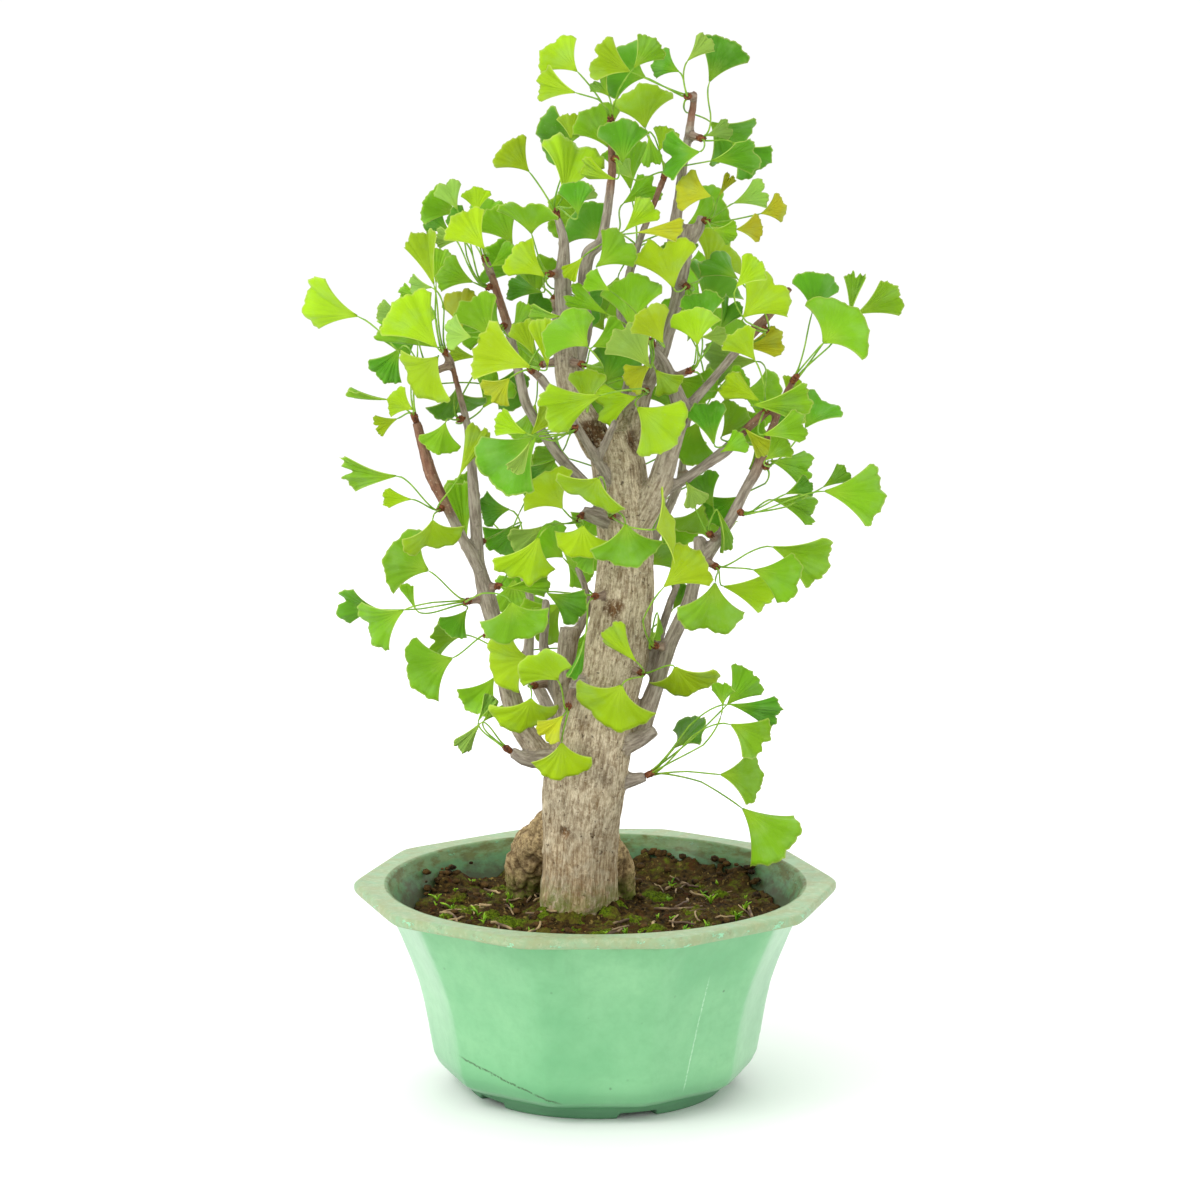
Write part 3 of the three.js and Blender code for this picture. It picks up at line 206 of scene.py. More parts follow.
def tint(hex_colour):
    """A screen colour such as 0x9dc7ae as linear light."""
    parts = np.array([hex_colour >> 16 & 255, hex_colour >> 8 & 255, hex_colour & 255]) / 255
    return np.where(parts <= 0.04045, parts / 12.92, ((parts + 0.055) / 1.055) ** 2.4)


class Wire:
    """One value in a shader. Arithmetic on it adds Math nodes, so a mask reads as a formula."""

    def __init__(self, finish, socket):
        self.finish, self.socket = finish, socket

    def maths(self, operation, *values, clamp=False):
        """A Math node of this value and others."""
        settings = {"operation": operation, "use_clamp": clamp}
        return self.finish.node("Math", settings, self, *values)

    def __add__(self, other):
        return self.maths("ADD", other)

    def __sub__(self, other):
        return self.maths("SUBTRACT", other)

    def __rsub__(self, other):
        return self.finish.node("Math", {"operation": "SUBTRACT"}, other, self)

    def __mul__(self, other):
        return self.maths("MULTIPLY", other)

    __radd__, __rmul__ = __add__, __mul__

    def split(self):
        """The three numbers of a vector."""
        return [self.finish.axis(letter, self) for letter in "XYZ"]

    def over(self, low, high):
        """0 below low and 1 above high, even in between; with high under low it falls instead."""
        return (self - low).maths("MULTIPLY", 1 / (high - low), clamp=True)


class Finish:
    """A material of one Principled shader, and the one method that adds any node to it."""

    def __init__(self, name, **constants):
        self.material = bpy.data.materials.new(name)
        self.material.use_nodes = True
        self.tree = self.material.node_tree
        self.shader = self.tree.nodes["Principled BSDF"]
        self.wear(**constants)
        self.place = self.node("TexCoord", {}, output="Object")

    def feed(self, socket, value):
        """Links a value to a socket or sets it there. A whole number on a colour socket is a tint."""
        if isinstance(value, Wire):
            self.tree.links.new(value.socket, socket)
        else:
            socket.default_value = (*tint(value), 1) if socket.type == "RGBA" else value

    def node(self, kind, settings, *values, output=0, **named):
        """A shader node with its settings and the values of its sockets, by order or by name."""
        made = self.tree.nodes.new("ShaderNode" + kind)
        for key, value in settings.items():
            setattr(made, key, value)
        for key, value in [*enumerate(values), *named.items()]:
            self.feed(made.inputs[key], value)
        return Wire(self, made.outputs[output])

    def blend(self, factor, first, second):
        """first where factor is 0 and second where it is 1, for colours."""
        found = self.node("Mix", {"data_type": "RGBA"}, factor, output=2)
        mix = found.socket.node
        self.feed(mix.inputs[6], first)
        self.feed(mix.inputs[7], second)
        return found

    def layers(self, base, *rows):
        """Lays colours over a base one after another: each row is a mask and a colour."""
        for mask, colour in rows:
            base = self.blend(mask, base, colour)
        return base

    def shaded(self, colour, factor):
        """A colour made lighter or darker."""
        named = {"operation": "MULTIPLY"}
        return self.node("VectorMath", named, colour, (factor, factor, factor))

    def noise(self, size, detail=3.0, rough=0.5, at=None):
        """Noise from 0 to 1 whose lumps are about size millimetres across."""
        named = {"Scale": 1 / (size * MM), "Detail": detail, "Roughness": rough}
        return self.node("TexNoise", {}, Vector=at or self.place, **named)

    def axis(self, letter, at=None):
        """One coordinate of the place, in metres."""
        return self.node("SeparateXYZ", {}, at or self.place, output=letter)

    def stretched(self, x, y, z):
        """The place multiplied along each axis, which draws a pattern out where the factor is small."""
        return self.node("VectorMath", {"operation": "MULTIPLY"}, self.place, (x, y, z))

    def wear(self, **worn):
        """Links or sets values on the shader's own sockets."""
        for socket, value in worn.items():
            self.feed(self.shader.inputs[socket.replace("_", " ")], value)

    def bump(self, height, depth):
        """Raises the surface by the height times depth millimetres."""
        named = {"Height": height, "Distance": depth * MM, "Strength": 1.0}
        self.wear(Normal=self.node("Bump", {}, **named))


glaze = Finish("mint_glaze", Roughness=0.3, Coat_Weight=0.2, Coat_Roughness=0.15)
height = glaze.axis("Z")
cloud = glaze.noise(60, 4)
fine = glaze.noise(7, 5, 0.65)
grain = glaze.noise(1.4, 3, 0.6)
mint = glaze.blend(cloud.over(0.35, 0.68), 0x6CB07A, 0x86C38E)
mint = glaze.blend(fine.over(0.42, 0.7) * 0.3, mint, 0x66A570)
# Glaze runs thin over the lip and shows stain there, with bright chips along the edge.
lip = height.over(0.1168, 0.1186)
rim = glaze.layers(
    glaze.blend(glaze.noise(14, 5, 0.65).over(0.34, 0.62), 0x90AE88, 0x9A9E74),
    (glaze.noise(4, 4, 0.7).over(0.5, 0.72) * 0.7, 0xB8BD98),
    (glaze.noise(6, 4, 0.7).over(0.6, 0.7) * 0.6, 0x86765C),
)
edge = height.over(0.1176, 0.1192) * height.over(0.1246, 0.1232)
chips = edge * glaze.noise(9, 4, 0.7, glaze.stretched(1, 1, 2)).over(0.6, 0.64)
drips = glaze.noise(9, 4, 0.6, glaze.stretched(1, 1, 0.12)).over(0.52, 0.75)
# Just under the lip a patchy darker band stands for dirt and painted shade of the lip's overhang. The
# pot is also darker at the foot and towards the bottom.
lip_shade_and_dirt = (height + (fine - 0.5) * 0.006).over(0.1135, 0.1172) * height.over(0.1186, 0.1176)
foot = height.over(0.012, 0.004)
ground = (height + fine * 0.008).over(0.03, 0.02)
# The inner wall is the straight slope within reach. It is painted darker as shade inside the pot, water
# has left brown tide marks on it, and towards the soil it darkens further with dirt and painted shade.
flat = glaze.stretched(1, 1, 0)
middle = (AXIS[0] * MM, AXIS[1] * MM, 0)
reach = glaze.node("VectorMath", {"operation": "DISTANCE"}, flat, middle, output=1)
inside = (reach - height * 0.575).over(0.0552, 0.0543) * height.over(0.09, 0.1)
tide = glaze.noise(12, 4, 0.65, glaze.stretched(1, 1, 3)).over(0.45, 0.62)
shade_and_grime = (height + (fine - 0.5) * 0.02).over(0.1195, 0.108)
# A long scratch runs down a right-hand side, and a crack holds green dirt low on the left.
across = glaze.axis("X") - AXIS[0] * MM
front = glaze.axis("Y").over(-0.04, -0.05)
scratch = across - 0.0479 - height * 0.2057 + (fine - 0.5) * 0.0014
scratch = scratch.maths("ABSOLUTE").over(0.00045, 0.0002) * front * height.over(0.016, 0.022)
scratch = scratch * height.over(0.091, 0.08) * grain.over(0.36, 0.52)
crack = height - 0.007 + across * 0.33 + (fine - 0.5) * 0.004
crack = crack.maths("ABSOLUTE").over(0.0009, 0.0004) * front * across.over(-0.081, -0.076)
crack = crack * across.over(-0.018, -0.024) * grain.over(0.35, 0.5)
specks = glaze.node("TexVoronoi", {"feature": "F1"}, Vector=glaze.place, Scale=95.0, Randomness=1.0)
sparse = glaze.noise(16, 2).over(0.5, 0.66)
body = glaze.layers(
    mint,
    (lip * 0.85, rim),
    (chips * 0.8, 0x98DDB0),
    (drips * height.over(0.03, 0.11) * 0.18, 0x5E9468),
    # dirt and painted shade just under the lip
    (lip_shade_and_dirt * fine.over(0.35, 0.6) * 0.4, 0x6E8A55),
    (foot * 0.7, 0x4C6B52),
    (ground * 0.35, 0x3F7F55),
    # painted shade over the inner wall
    (inside * 0.55, 0x45743A),
    (inside * tide * 0.75, 0x5C5A24),
    # dirt and painted shade, deepening towards the soil
    (inside * shade_and_grime * 0.85, 0x30320F),
    (scratch * 0.55, 0xC4E6C8),
    (crack * 0.8, 0x39562F),
    (specks.over(0.1, 0.05) * sparse * 0.6, 0x3F5B46),
)
worn = 0.26 + 0.4 * lip + 0.3 * foot + 0.12 * fine + 0.4 * inside
glaze.wear(Base_Color=body, Roughness=worn)
glaze.bump(0.5 * fine + 0.5 * cloud + 0.8 * chips - 0.1 * grain, 0.3)
pot.data.materials.append(glaze.material)
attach(pot, "root")
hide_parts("pot")

# ---- The soil -------------------------------------------------------------------------------------
# A dark, crumbly potting mix of bark, peat and grit. It fills the pot to a finger under the lip and
# rises a little to the trunk, worn lumpy by watering.

SOIL_HEIGHT = 103.0
SOIL_MOUND = 6.0
SOIL_EDGE = 111.4
CLODS = [(160, 11, 9), (146, 7, 7), (131, 9, 8), (233, 11, 8), (205, 3, 9)]  # turn, height, width
TRUNK_FOOT, COLLAR = (-11, 2), 24  # the collar's distance from the middle of the trunk's foot
soil_rng = np.random.default_rng(7)


def soil_top(x, y):
    """Height of the soil: a shallow mound towards the trunk, a collar round its foot and clods washed
    up against the wall at the back, with lumps of three sizes."""
    flat = np.stack([x, y, 0 * x], -1)
    rise = SOIL_MOUND * (1 - np.hypot(x, y) / SOIL_EDGE)
    turn = np.degrees(np.arctan2(x, -y)) % 360
    bank = sum(high * np.exp(-(((turn - at) / wide) ** 2)) for at, high, wide in CLODS)
    bank = bank * (1 + 0.5 * lumps(flat, 5, 15))
    rise = rise + bank * np.clip((np.hypot(x, y) - 92) / 18, 0, 1) ** 1.3
    away = np.hypot(x - TRUNK_FOOT[0], y - TRUNK_FOOT[1]) - COLLAR
    rise = rise + 3.5 * np.exp(-((away / 7) ** 2))
    coarse = 2.2 * lumps(flat, 21, 11) + 1.6 * lumps(flat, 9, 12)
    crumbs = 1.9 * np.abs(lumps(flat, 4.2, 13)) + 0.8 * lumps(flat, 1.9, 14)
    return SOIL_HEIGHT + rise + coarse + crumbs


def soil_points(columns, rows):
    """Rings from the middle out to the wall under soil_top, then down inside the pot and back in."""
    theta = turns(columns)
    rings = SOIL_EDGE * (np.arange(rows) + 0.5)[:, None] / (rows - 0.5)
    x, y = polar(rings, theta)
    z = soil_top(x, y)
    lean = 1 + 0.5 * np.maximum(z - SOIL_HEIGHT, 0) / SOIL_EDGE * (rings / SOIL_EDGE) ** 8
    top = np.stack([x * lean, y * lean, z], -1)
    wall = np.array([(108.5, 99), (99.5, 80), (85.5, 27), (82, 19), (70, 16.4), (3, 16.4)])
    under = np.stack([*polar(wall[:, :1], theta), wall[:, 1:] + 0 * theta], -1)
    return np.concatenate([top, under])


soil_surface = soil_points(360, 84)
rows, columns = soil_surface.shape[:2]
inner = np.arange(columns)[None, :]
outer = (rows - 1) * columns + np.arange(columns)[::-1][None, :]
soil_faces = [grid_faces(rows, columns, False, True)[:, ::-1], inner, outer]
soil = shape("potting_soil", soil_surface, soil_faces)

earth = Finish("crumbly_soil", Roughness=0.95, Specular_IOR_Level=0.1)
grit = earth.noise(3.2, 5, 0.7)
patch = earth.noise(26, 4, 0.6)
rusty = earth.noise(9, 4, 0.6).over(0.54, 0.64)
straw = earth.noise(2.4, 2, 0.5, earth.stretched(1, 0.25, 1)).over(0.64, 0.7)
green = patch.over(0.48, 0.58) * earth.noise(6, 4, 0.65).over(0.46, 0.56)
brown = earth.layers(
    earth.blend(grit.over(0.36, 0.66), 0x0F0A04, 0x54411C),
    (patch.over(0.45, 0.62) * 0.5, 0x5A4826),
    (rusty * 0.6, 0x4A2610),
    (straw * 0.55, 0xA08A4A),
    (green * grit.over(0.36, 0.6) * 0.85, 0x5C6E14),
)
earth.wear(Base_Color=brown)
earth.bump(grit + 0.4 * earth.noise(1.1, 3), 1.4)
soil.data.materials.append(earth.material)
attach(soil, "root")
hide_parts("soil")

# ---- Litter on the soil ---------------------------------------------------------------------------
# Bark crumbs, fallen twigs and straw lie loose on the soil, moss grows in cushions, and a few
# seedlings have come up. Crumbs are also washed up against the back of the pot's inner wall.


def blobs(centres, radii, flatness, seed):
    """Small lumps, one to a row: a seven-sided ball of five rings, each point moved in or out."""
    rings, sides = 5, 7
    around = turns(sides)
    rise = np.radians([-90, -40, 0, 40, 90])[:, None]
    level = np.cos(rise)
    ball = np.stack([level * np.cos(around), level * np.sin(around), np.sin(rise) + 0 * around], -1)
    cells = np.stack(np.indices((len(centres), rings, sides)), -1)
    knobs = 1 + 0.35 * (hashed(cells, seed) - 0.5)
    knobs[:, 0] = knobs[:, 0, :1]
    knobs[:, -1] = knobs[:, -1, :1]
    points = ball[None] * knobs[..., None] * np.asarray(radii)[:, None, None, None]
    points[..., 2] *= flatness
    points = points + np.asarray(centres)[:, None, None, :]
    return points, repeated(grid_faces(rings, sides, False, True), len(centres), rings * sides)


CRUMBS, WALL_CRUMBS = 330, 200
crumb_angle = soil_rng.uniform(0, 2 * np.pi, CRUMBS)
crumb_reach = 108 * np.sqrt(soil_rng.uniform(0.06, 1, CRUMBS))
crumb_x, crumb_y = polar(crumb_reach, crumb_angle)
crumb_size = 0.8 + 2.4 * soil_rng.uniform(0, 1, CRUMBS) ** 2.2
crumb_at = np.stack([crumb_x, crumb_y, soil_top(crumb_x, crumb_y) + 0.3 * crumb_size], 1)
# Those on the wall stick to the slope between the soil and the mouth, most of them about the clods.
NEAR_CLOD, CLOD_TURNS = 60, (160, 132, 233)
near_clods = [soil_rng.normal(turn, 5, NEAR_CLOD) for turn in CLOD_TURNS]
spread = WALL_CRUMBS - NEAR_CLOD * len(CLOD_TURNS)
wall_angle = np.radians(np.concatenate([*near_clods, soil_rng.uniform(95, 262, spread)]))
wall_share = soil_rng.uniform(0, 1, WALL_CRUMBS) ** 1.3
wall_share[:-spread] *= 0.95
wall_share[-spread:] *= 0.35
wall_reach, wall_z = 108.6 + 9.5 * wall_share, 101 + 17 * wall_share
wall_at = np.stack([*polar(wall_reach, wall_angle), wall_z], 1)
crumb_size = np.concatenate([crumb_size, soil_rng.uniform(1.0, 3.0, WALL_CRUMBS)])
crumb_points, crumb_faces = blobs(np.vstack([crumb_at, wall_at]), crumb_size, 0.7, 21)
crumbs = shape("soil_crumbs", crumb_points, [crumb_faces])
bark_crumb = Finish("bark_crumbs", Roughness=0.9, Specular_IOR_Level=0.15)
shade = bark_crumb.noise(5, 2)
mottle = bark_crumb.noise(0.9, 3, 0.7)
dusty = bark_crumb.blend(shade.over(0.36, 0.66), 0x1E1508, 0x5C4420)
bark_crumb.wear(Base_Color=bark_crumb.blend(mottle.over(0.5, 0.72) * 0.4, dusty, 0x7E6848))
bark_crumb.bump(mottle, 0.5)
crumbs.data.materials.append(bark_crumb.material)
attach(crumbs, "root")


def unit(vectors):
    return vectors / np.linalg.norm(vectors, axis=-1, keepdims=True)


def rods(paths, radii, sides=5):
    """Round rods along paths of the same number of points. Each ring stands square to its path, and
    the radius may change along it; the two end rings are closed with a cap."""
    paths = np.asarray(paths, float)
    count, steps = paths.shape[:2]
    run = unit(np.gradient(paths, axis=1))
    lift = np.where(np.abs(run[..., 2:]) > 0.9, [1.0, 0, 0], [0, 0, 1.0])
    first = unit(np.cross(run, lift))[..., None, :]
    second = np.cross(run[..., None, :], first)
    turn = turns(sides)[:, None]
    ring = first * np.cos(turn) + second * np.sin(turn)
    radii = np.broadcast_to(np.asarray(radii, float), (count, steps))
    points = paths[:, :, None] + ring * radii[..., None, None]
    each = steps * sides
    near = np.arange(sides)[None, :]
    first_caps = repeated(near[:, ::-1], count, each)
    caps = np.concatenate([first_caps, repeated(near + each - sides, count, each)])
    faces = repeated(grid_faces(steps, sides, False, True), count, each)
    return points.reshape(-1, 3), [faces, caps]


STICKS, STICK_LIMIT = 46, 106
stick_angle = soil_rng.uniform(0, 2 * np.pi, (STICKS, 1))
stick_reach = 96 * np.sqrt(soil_rng.uniform(0.1, 1, (STICKS, 1)))
stick_aim = soil_rng.uniform(0, 2 * np.pi, (STICKS, 1))
stick_length = soil_rng.uniform(6, 30, (STICKS, 1))
along = np.linspace(-0.5, 0.5, 7)[None, :]
bend = soil_rng.uniform(-0.12, 0.12, (STICKS, 1)) * (4 * along**2) * stick_length
stick_x, stick_y = polar(stick_reach, stick_angle)
stick_x = stick_x + stick_length * along * np.cos(stick_aim) - bend * np.sin(stick_aim)
stick_y = stick_y + stick_length * along * np.sin(stick_aim) + bend * np.cos(stick_aim)
# A stick lies half way between the soil's lumps under it and their mean; those over the edge go.
under = soil_top(stick_x, stick_y)
stick_z = under.mean(1, keepdims=True) + 1.3 + 0.5 * under - 0.5 * under.mean(1, keepdims=True)
kept = np.hypot(stick_x, stick_y).max(1) < STICK_LIMIT
sticks = np.stack([stick_x, stick_y, stick_z], -1)[kept]
thick = soil_rng.uniform(0.35, 1.0, (len(sticks), 1)) * (1 - 0.25 * np.abs(along))
twig_points, twig_faces = rods(sticks, thick)
twigs = shape("fallen_twigs", twig_points, twig_faces)
dead = Finish("dead_twigs", Roughness=0.8)
pale = dead.noise(14, 2).over(0.4, 0.6)
dead.wear(Base_Color=dead.blend(pale, 0x5A4532, 0xB59C70))
twigs.data.materials.append(dead.material)
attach(twigs, "root")

# Moss cushions, as x, y and width: the largest lie at the trunk's left and front.
# fmt: off
MOSS = [
    (-52, -30, 24), (-30, -52, 16), (4, -60, 15), (32, -42, 17), (58, -8, 14), (-76, 2, 18),
    (-62, -14, 14), (40, 34, 20), (-34, 44, 18), (72, -38, 12), (-12, -86, 14), (26, -82, 10),
    (-66, -58, 12), (14, 62, 16), (-84, 34, 14), (-90, -16, 12), (-44, -72, 10), (50, -66, 11),
    (84, 6, 12), (-14, -46, 12), (22, -24, 13), (-14, -27, 17), (9, -19, 14), (-33, -16, 13),
    (16, -4, 12), (10, -38, 10), (76, 44, 15), (-58, 62, 14), (62, 62, 12), (-8, 92, 13),
]
# fmt: on


def cushions(rows):
    """Low domes on the soil: height falls with the square of the distance from the middle, the rim
    wanders, and fine lumps stand for the moss's tips. The last ring dips under the soil."""
    rings, columns = 15, 36
    x0, y0, width = np.asarray(rows, float).T[..., None, None]
    share = (np.arange(rings) / (rings - 1))[None, :, None]
    turn = turns(columns)
    rim = np.stack([x0 + 12 * np.cos(turn), y0 + 12 * np.sin(turn), 0 * (x0 + turn)], -1)
    wander = 1 + 0.45 * lumps(rim, 9, 31) + 0.3 * lumps(rim, 3.5, 34)
    x = x0 + share * width / 2 * wander * np.cos(turn)
    y = y0 + share * width / 2 * wander * np.sin(turn)
    place = np.stack([x, y, 0 * x], -1)
    tips = 1.1 * np.abs(lumps(place, 1.7, 32)) + 1.2 * lumps(place, 4, 33)
    dome = width * 0.09 * (1 - share**2) ** 0.8
    z = soil_top(x, y) + dome + tips * np.sqrt(1 - 0.9 * share) - 1.8 * share**6
    faces = repeated(grid_faces(rings, columns, False, True), len(rows), rings * columns)
    return np.stack([x, y, z], -1), faces


moss_points, moss_faces = cushions(MOSS)
moss = shape("moss_cushions", moss_points, [moss_faces])
moss_finish = Finish("moss", Roughness=0.95, Specular_IOR_Level=0.1)
tips = moss_finish.noise(1.6, 4, 0.7)
dry = moss_finish.noise(15, 3)
mossy = moss_finish.blend(tips.over(0.35, 0.68), 0x242E06, 0x748C18)
moss_finish.wear(Base_Color=moss_finish.blend(dry.over(0.48, 0.6) * 0.7, mossy, 0x5A4620))
moss_finish.bump(tips, 1.2)
moss.data.materials.append(moss_finish.material)
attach(moss, "root")

# Seedlings, as x and y, with smaller ones in between: each is a tuft of five narrow blades that arch
# out from one spot.
# fmt: off
SEEDLINGS = [
    (-66, -36), (-70, -18), (-48, -66), (-86, 2), (-30, -82), (4, -86), (18, -66), (52, -52), (38, -78),
    (66, -44), (84, -22), (-96, 26), (-52, 30), (70, 26), (46, 52), (22, 84), (-20, 70), (90, 10),
]
# fmt: on
SMALL_SEEDLINGS, TUFT = 46, 5
small_turn = soil_rng.uniform(0, 2 * np.pi, SMALL_SEEDLINGS)
small_reach = 104 * np.sqrt(soil_rng.uniform(0.12, 1, SMALL_SEEDLINGS))
small = np.column_stack([small_reach * np.cos(small_turn), small_reach * np.sin(small_turn)])
tuft = np.repeat(np.vstack([SEEDLINGS, small]), TUFT, 0)
count = len(tuft)
aim = soil_rng.uniform(0, 2 * np.pi, (count, 1))
full = (np.arange(count) < TUFT * len(SEEDLINGS))[:, None]
tall = soil_rng.uniform(3, 9, (count, 1)) * np.where(full, 1, 0.5)
share = np.linspace(0, 1, 7)[None, :]
lean = (0.2 + 0.7 * soil_rng.uniform(0, 1, (count, 1))) * tall * share**1.6
tuft_x, tuft_y = tuft[:, :1] + lean * np.cos(aim), tuft[:, 1:] + lean * np.sin(aim)
tuft_z = soil_top(tuft[:, :1], tuft[:, 1:]) + tall * (share - 0.25 * share**3)
wide = (0.25 + 0.5 * np.sin(np.pi * (0.12 + 0.85 * share))) * (0.4 + 0.07 * tall)
seedling_points, seedling_faces = rods(np.stack([tuft_x, tuft_y, tuft_z], -1), wide, 4)
seedlings = shape("seedlings", seedling_points, seedling_faces)
sprout = Finish("seedling_green", Roughness=0.5, Specular_IOR_Level=0.2)
young_green = sprout.noise(6, 2).over(0.35, 0.65)
sprout.wear(Base_Color=sprout.blend(young_green, 0x4F8A16, 0x9CC62C))
seedlings.data.materials.append(sprout.material)
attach(seedlings, "root")

# ---- The trunk and branches -----------------------------------------------------------------------
# One living piece of wood: a fluted trunk cut back over the years, with limbs, stubs, surface roots
# and short spur shoots. Its bark is grey-beige, fissured along the grain, and mossy at the soil.

# Rows of x, z, depth and radius along each limb, in millimetres, as seen on a front elevation.
# fmt: off
TRUNK = [
    (-11, 70, 2, 20), (-11, 96, 2, 24), (-10.5, 112, 1, 23.2), (-9, 130, 0, 22.5), (-8, 156, 0, 22.8),
    (-6, 176, 0, 23.6), (-4, 190, 0, 24.5), (-2, 206, 0, 24), (1, 223, 1, 21.5), (6, 243, 2, 19),
    (11, 262, 3, 19), (16, 296, 4, 18), (18, 322, 5, 16.5), (17, 354, 6, 15.5), (13, 382, 7, 16),
    (9, 396, 8, 14),
]
LIMBS = {
    "leader": [
        (4, 385, 6, 9.5), (-12, 412, 6, 8.6), (-17, 433, 5, 7.3), (-18, 458, 3, 4.7),
        (-19, 484, 1, 5.2), (-18, 508, 0, 3.1), (-22, 522, 0, 2.4),
    ],
    "second_leader": [
        (-13, 424, 6, 4.4), (-5, 456, 8, 3.7), (-7, 484, 6, 3.7), (-4, 502, 3, 4.4), (4, 507, 2, 3.3),
        (7, 525, 1, 2.8), (10, 548, 0, 2.6), (9, 576, 0, 2.2),
    ],
    "right_leader": [
        (17, 388, 8, 9.5), (27, 420, 12, 6.5), (38, 442, 14, 5.2), (47, 470, 15, 4), (51, 491, 15, 4),
        (56, 518, 15, 3.3),
    ],
    "cut_end": [(56, 508, 15, 3.4), (61, 516, 15, 3.3), (62, 523, 15, 2.9)],
    "tall_shoot": [
        (48, 478, 15, 3.4), (45, 498, 16, 3.4), (46, 513, 16, 4.1), (49, 534, 16, 3.1),
        (51, 552, 15, 2.8), (55, 574, 14, 2.6), (58, 595, 14, 1.9),
    ],
    "thin_shoot": [
        (25, 418, 12, 3.2), (16, 452, 18, 2.6), (20, 487, 18, 2.2), (26, 509, 16, 2.2),
        (35, 532, 14, 2.1), (40, 545, 12, 2.1),
    ],
    "right_limb": [
        (20, 332, 2, 8.6), (32, 352, -2, 7.7), (38, 366, -5, 7.3), (46, 392, -8, 5.8),
        (51, 409, -10, 5.6), (45, 426, -10, 4.3), (40, 438, -9, 3.4), (34, 446, -8, 2.6),
    ],
    "right_fork": [
        (51, 407, -8, 3.6), (60, 417, -4, 3), (69, 427, 0, 2.7), (82, 443, 6, 2.7), (94, 457, 10, 3.7),
        (103, 466, 11, 2.3), (114, 481, 12, 2),
    ],
    "right_side": [
        (38, 360, -2, 3.8), (50, 366, 0, 3.2), (63, 375, 0, 3), (77, 385, -2, 3.8), (88, 397, -4, 2.7),
        (97, 405, -5, 2.9), (106, 413, -6, 2.3),
    ],
    "right_arm": [
        (26, 214, 2, 6.5), (36, 244, 2, 4.9), (45, 272, 0, 4.5), (55, 292, -2, 4.5), (59, 309, -2, 3.9),
        (64, 322, -2, 5.4), (73, 332, -2, 3.3), (81, 346, -2, 3.6), (88, 361, -2, 3.2),
        (95, 373, -2, 3.7), (100, 388, -3, 2.9), (106, 403, -4, 2.4), (110, 415, -5, 2.2),
        (116, 426, -5, 1.9),
    ],
    "right_arm_stub": [(63, 320, -2, 4.8), (61, 334, -3, 3.4)],
    "right_arm_twin": [(34, 250, 4, 3.5), (38, 274, 7, 2.9), (45, 296, 9, 2.4), (49, 306, 9, 2.1)],
    "left_limb": [
        (-12, 188, 0, 8.8), (-33, 202, -3, 7.5), (-45, 220, -5, 6.8), (-53, 247, -7, 5.8),
        (-57, 271, -8, 5.2), (-64, 297, -8, 5.4), (-69, 317, -7, 3.8), (-71, 350, -5, 3.8),
        (-73, 380, -3, 3), (-75, 400, -2, 2.4), (-80, 420, -4, 2), (-84, 436, -5, 1.9),
    ],
    "left_arm": [
        (-69, 315, -8, 3.9), (-77, 330, -12, 3.4), (-87, 350, -15, 3), (-97, 371, -17, 3.9),
        (-101, 386, -18, 3.2), (-105, 402, -18, 2.9),
    ],
    "left_spur": [(-14, 198, -4, 7.6), (-29, 199, -9, 6), (-42, 199, -12, 4.2), (-50, 204, -13, 3.1)],
    "left_cut_limb": [
        (-8, 206, 8, 8.5), (-17, 226, 14, 7.2), (-19, 245, 15, 6.6), (-17, 264, 15, 6.1),
        (-15, 279, 15, 6),
    ],
    "left_thin_limb": [
        (-16, 226, 12, 4.8), (-27, 246, 22, 3.4), (-31, 268, 25, 3), (-29, 296, 26, 2.6),
    ],
    "left_thin_twig": [
        (-15, 268, 14, 3.2), (-4, 290, 20, 2.6), (-6, 304, 22, 2.2), (-11, 316, 24, 2.1),
    ],
    "crossing_twig": [
        (9, 366, -5, 3.4), (-3, 386, -17, 2.7), (-11, 400, -20, 2.5), (-21, 413, -22, 2.5),
        (-32, 428, -24, 3),
    ],
    "crossing_tip": [(1, 378, -12, 2.5), (8, 394, -18, 2.4), (12, 403, -20, 2)],
    "upper_left": [
        (9, 348, 0, 4.2), (-21, 381, -12, 3.4), (-32, 397, -12, 3.2), (-41, 413, -10, 3.2),
        (-46, 436, -4, 2.9), (-51, 458, 2, 2.9), (-57, 477, 4, 2.7), (-61, 490, 5, 2.4),
    ],
    "right_cut_stub": [(10, 205, -8, 7.2), (26, 211, -12, 5), (36, 217, -14, 3.6)],
    "right_low_spur": [(10, 185, -6, 6.3), (24, 187, -10, 4), (30, 189, -11, 3.1)],
    "left_knob": [(0, 243, -6, 6.3), (-13, 245, -13, 5)],
    "middle_stub": [(10, 342, -2, 5.4), (-7, 348, -8, 4)],
    "back_low": [
        (4, 232, 12, 5.3), (14, 262, 46, 4), (10, 300, 68, 3.3), (18, 338, 82, 2.4), (14, 362, 88, 1.9),
    ],
    "back_left": [
        (-6, 196, 14, 5.9), (-24, 222, 52, 4.3), (-40, 256, 78, 3.6), (-38, 296, 92, 2.6),
        (-48, 326, 98, 1.9),
    ],
    "back_right": [
        (18, 300, 12, 4.3), (34, 330, 48, 3.3), (50, 366, 74, 2.7), (54, 400, 84, 1.9),
        (62, 420, 88, 1.9),
    ],
    "back_high": [(8, 372, 14, 4.6), (-6, 404, 44, 3.3), (-22, 438, 62, 2.6), (-24, 470, 68, 1.9)],
    "back_top": [(12, 388, 14, 4.6), (20, 428, 42, 3), (14, 468, 54, 2.4), (22, 500, 58, 1.9)],
    "root_left": [
        (-14, 164, 8, 12), (-27, 155, 18, 13.5), (-37, 142, 30, 14.5), (-42, 125, 42, 12.5),
        (-44, 98, 50, 8),
    ],
    "root_right": [(2, 152, 12, 10), (11, 141, 18, 9), (15, 125, 25, 8), (17, 98, 30, 5)],
}
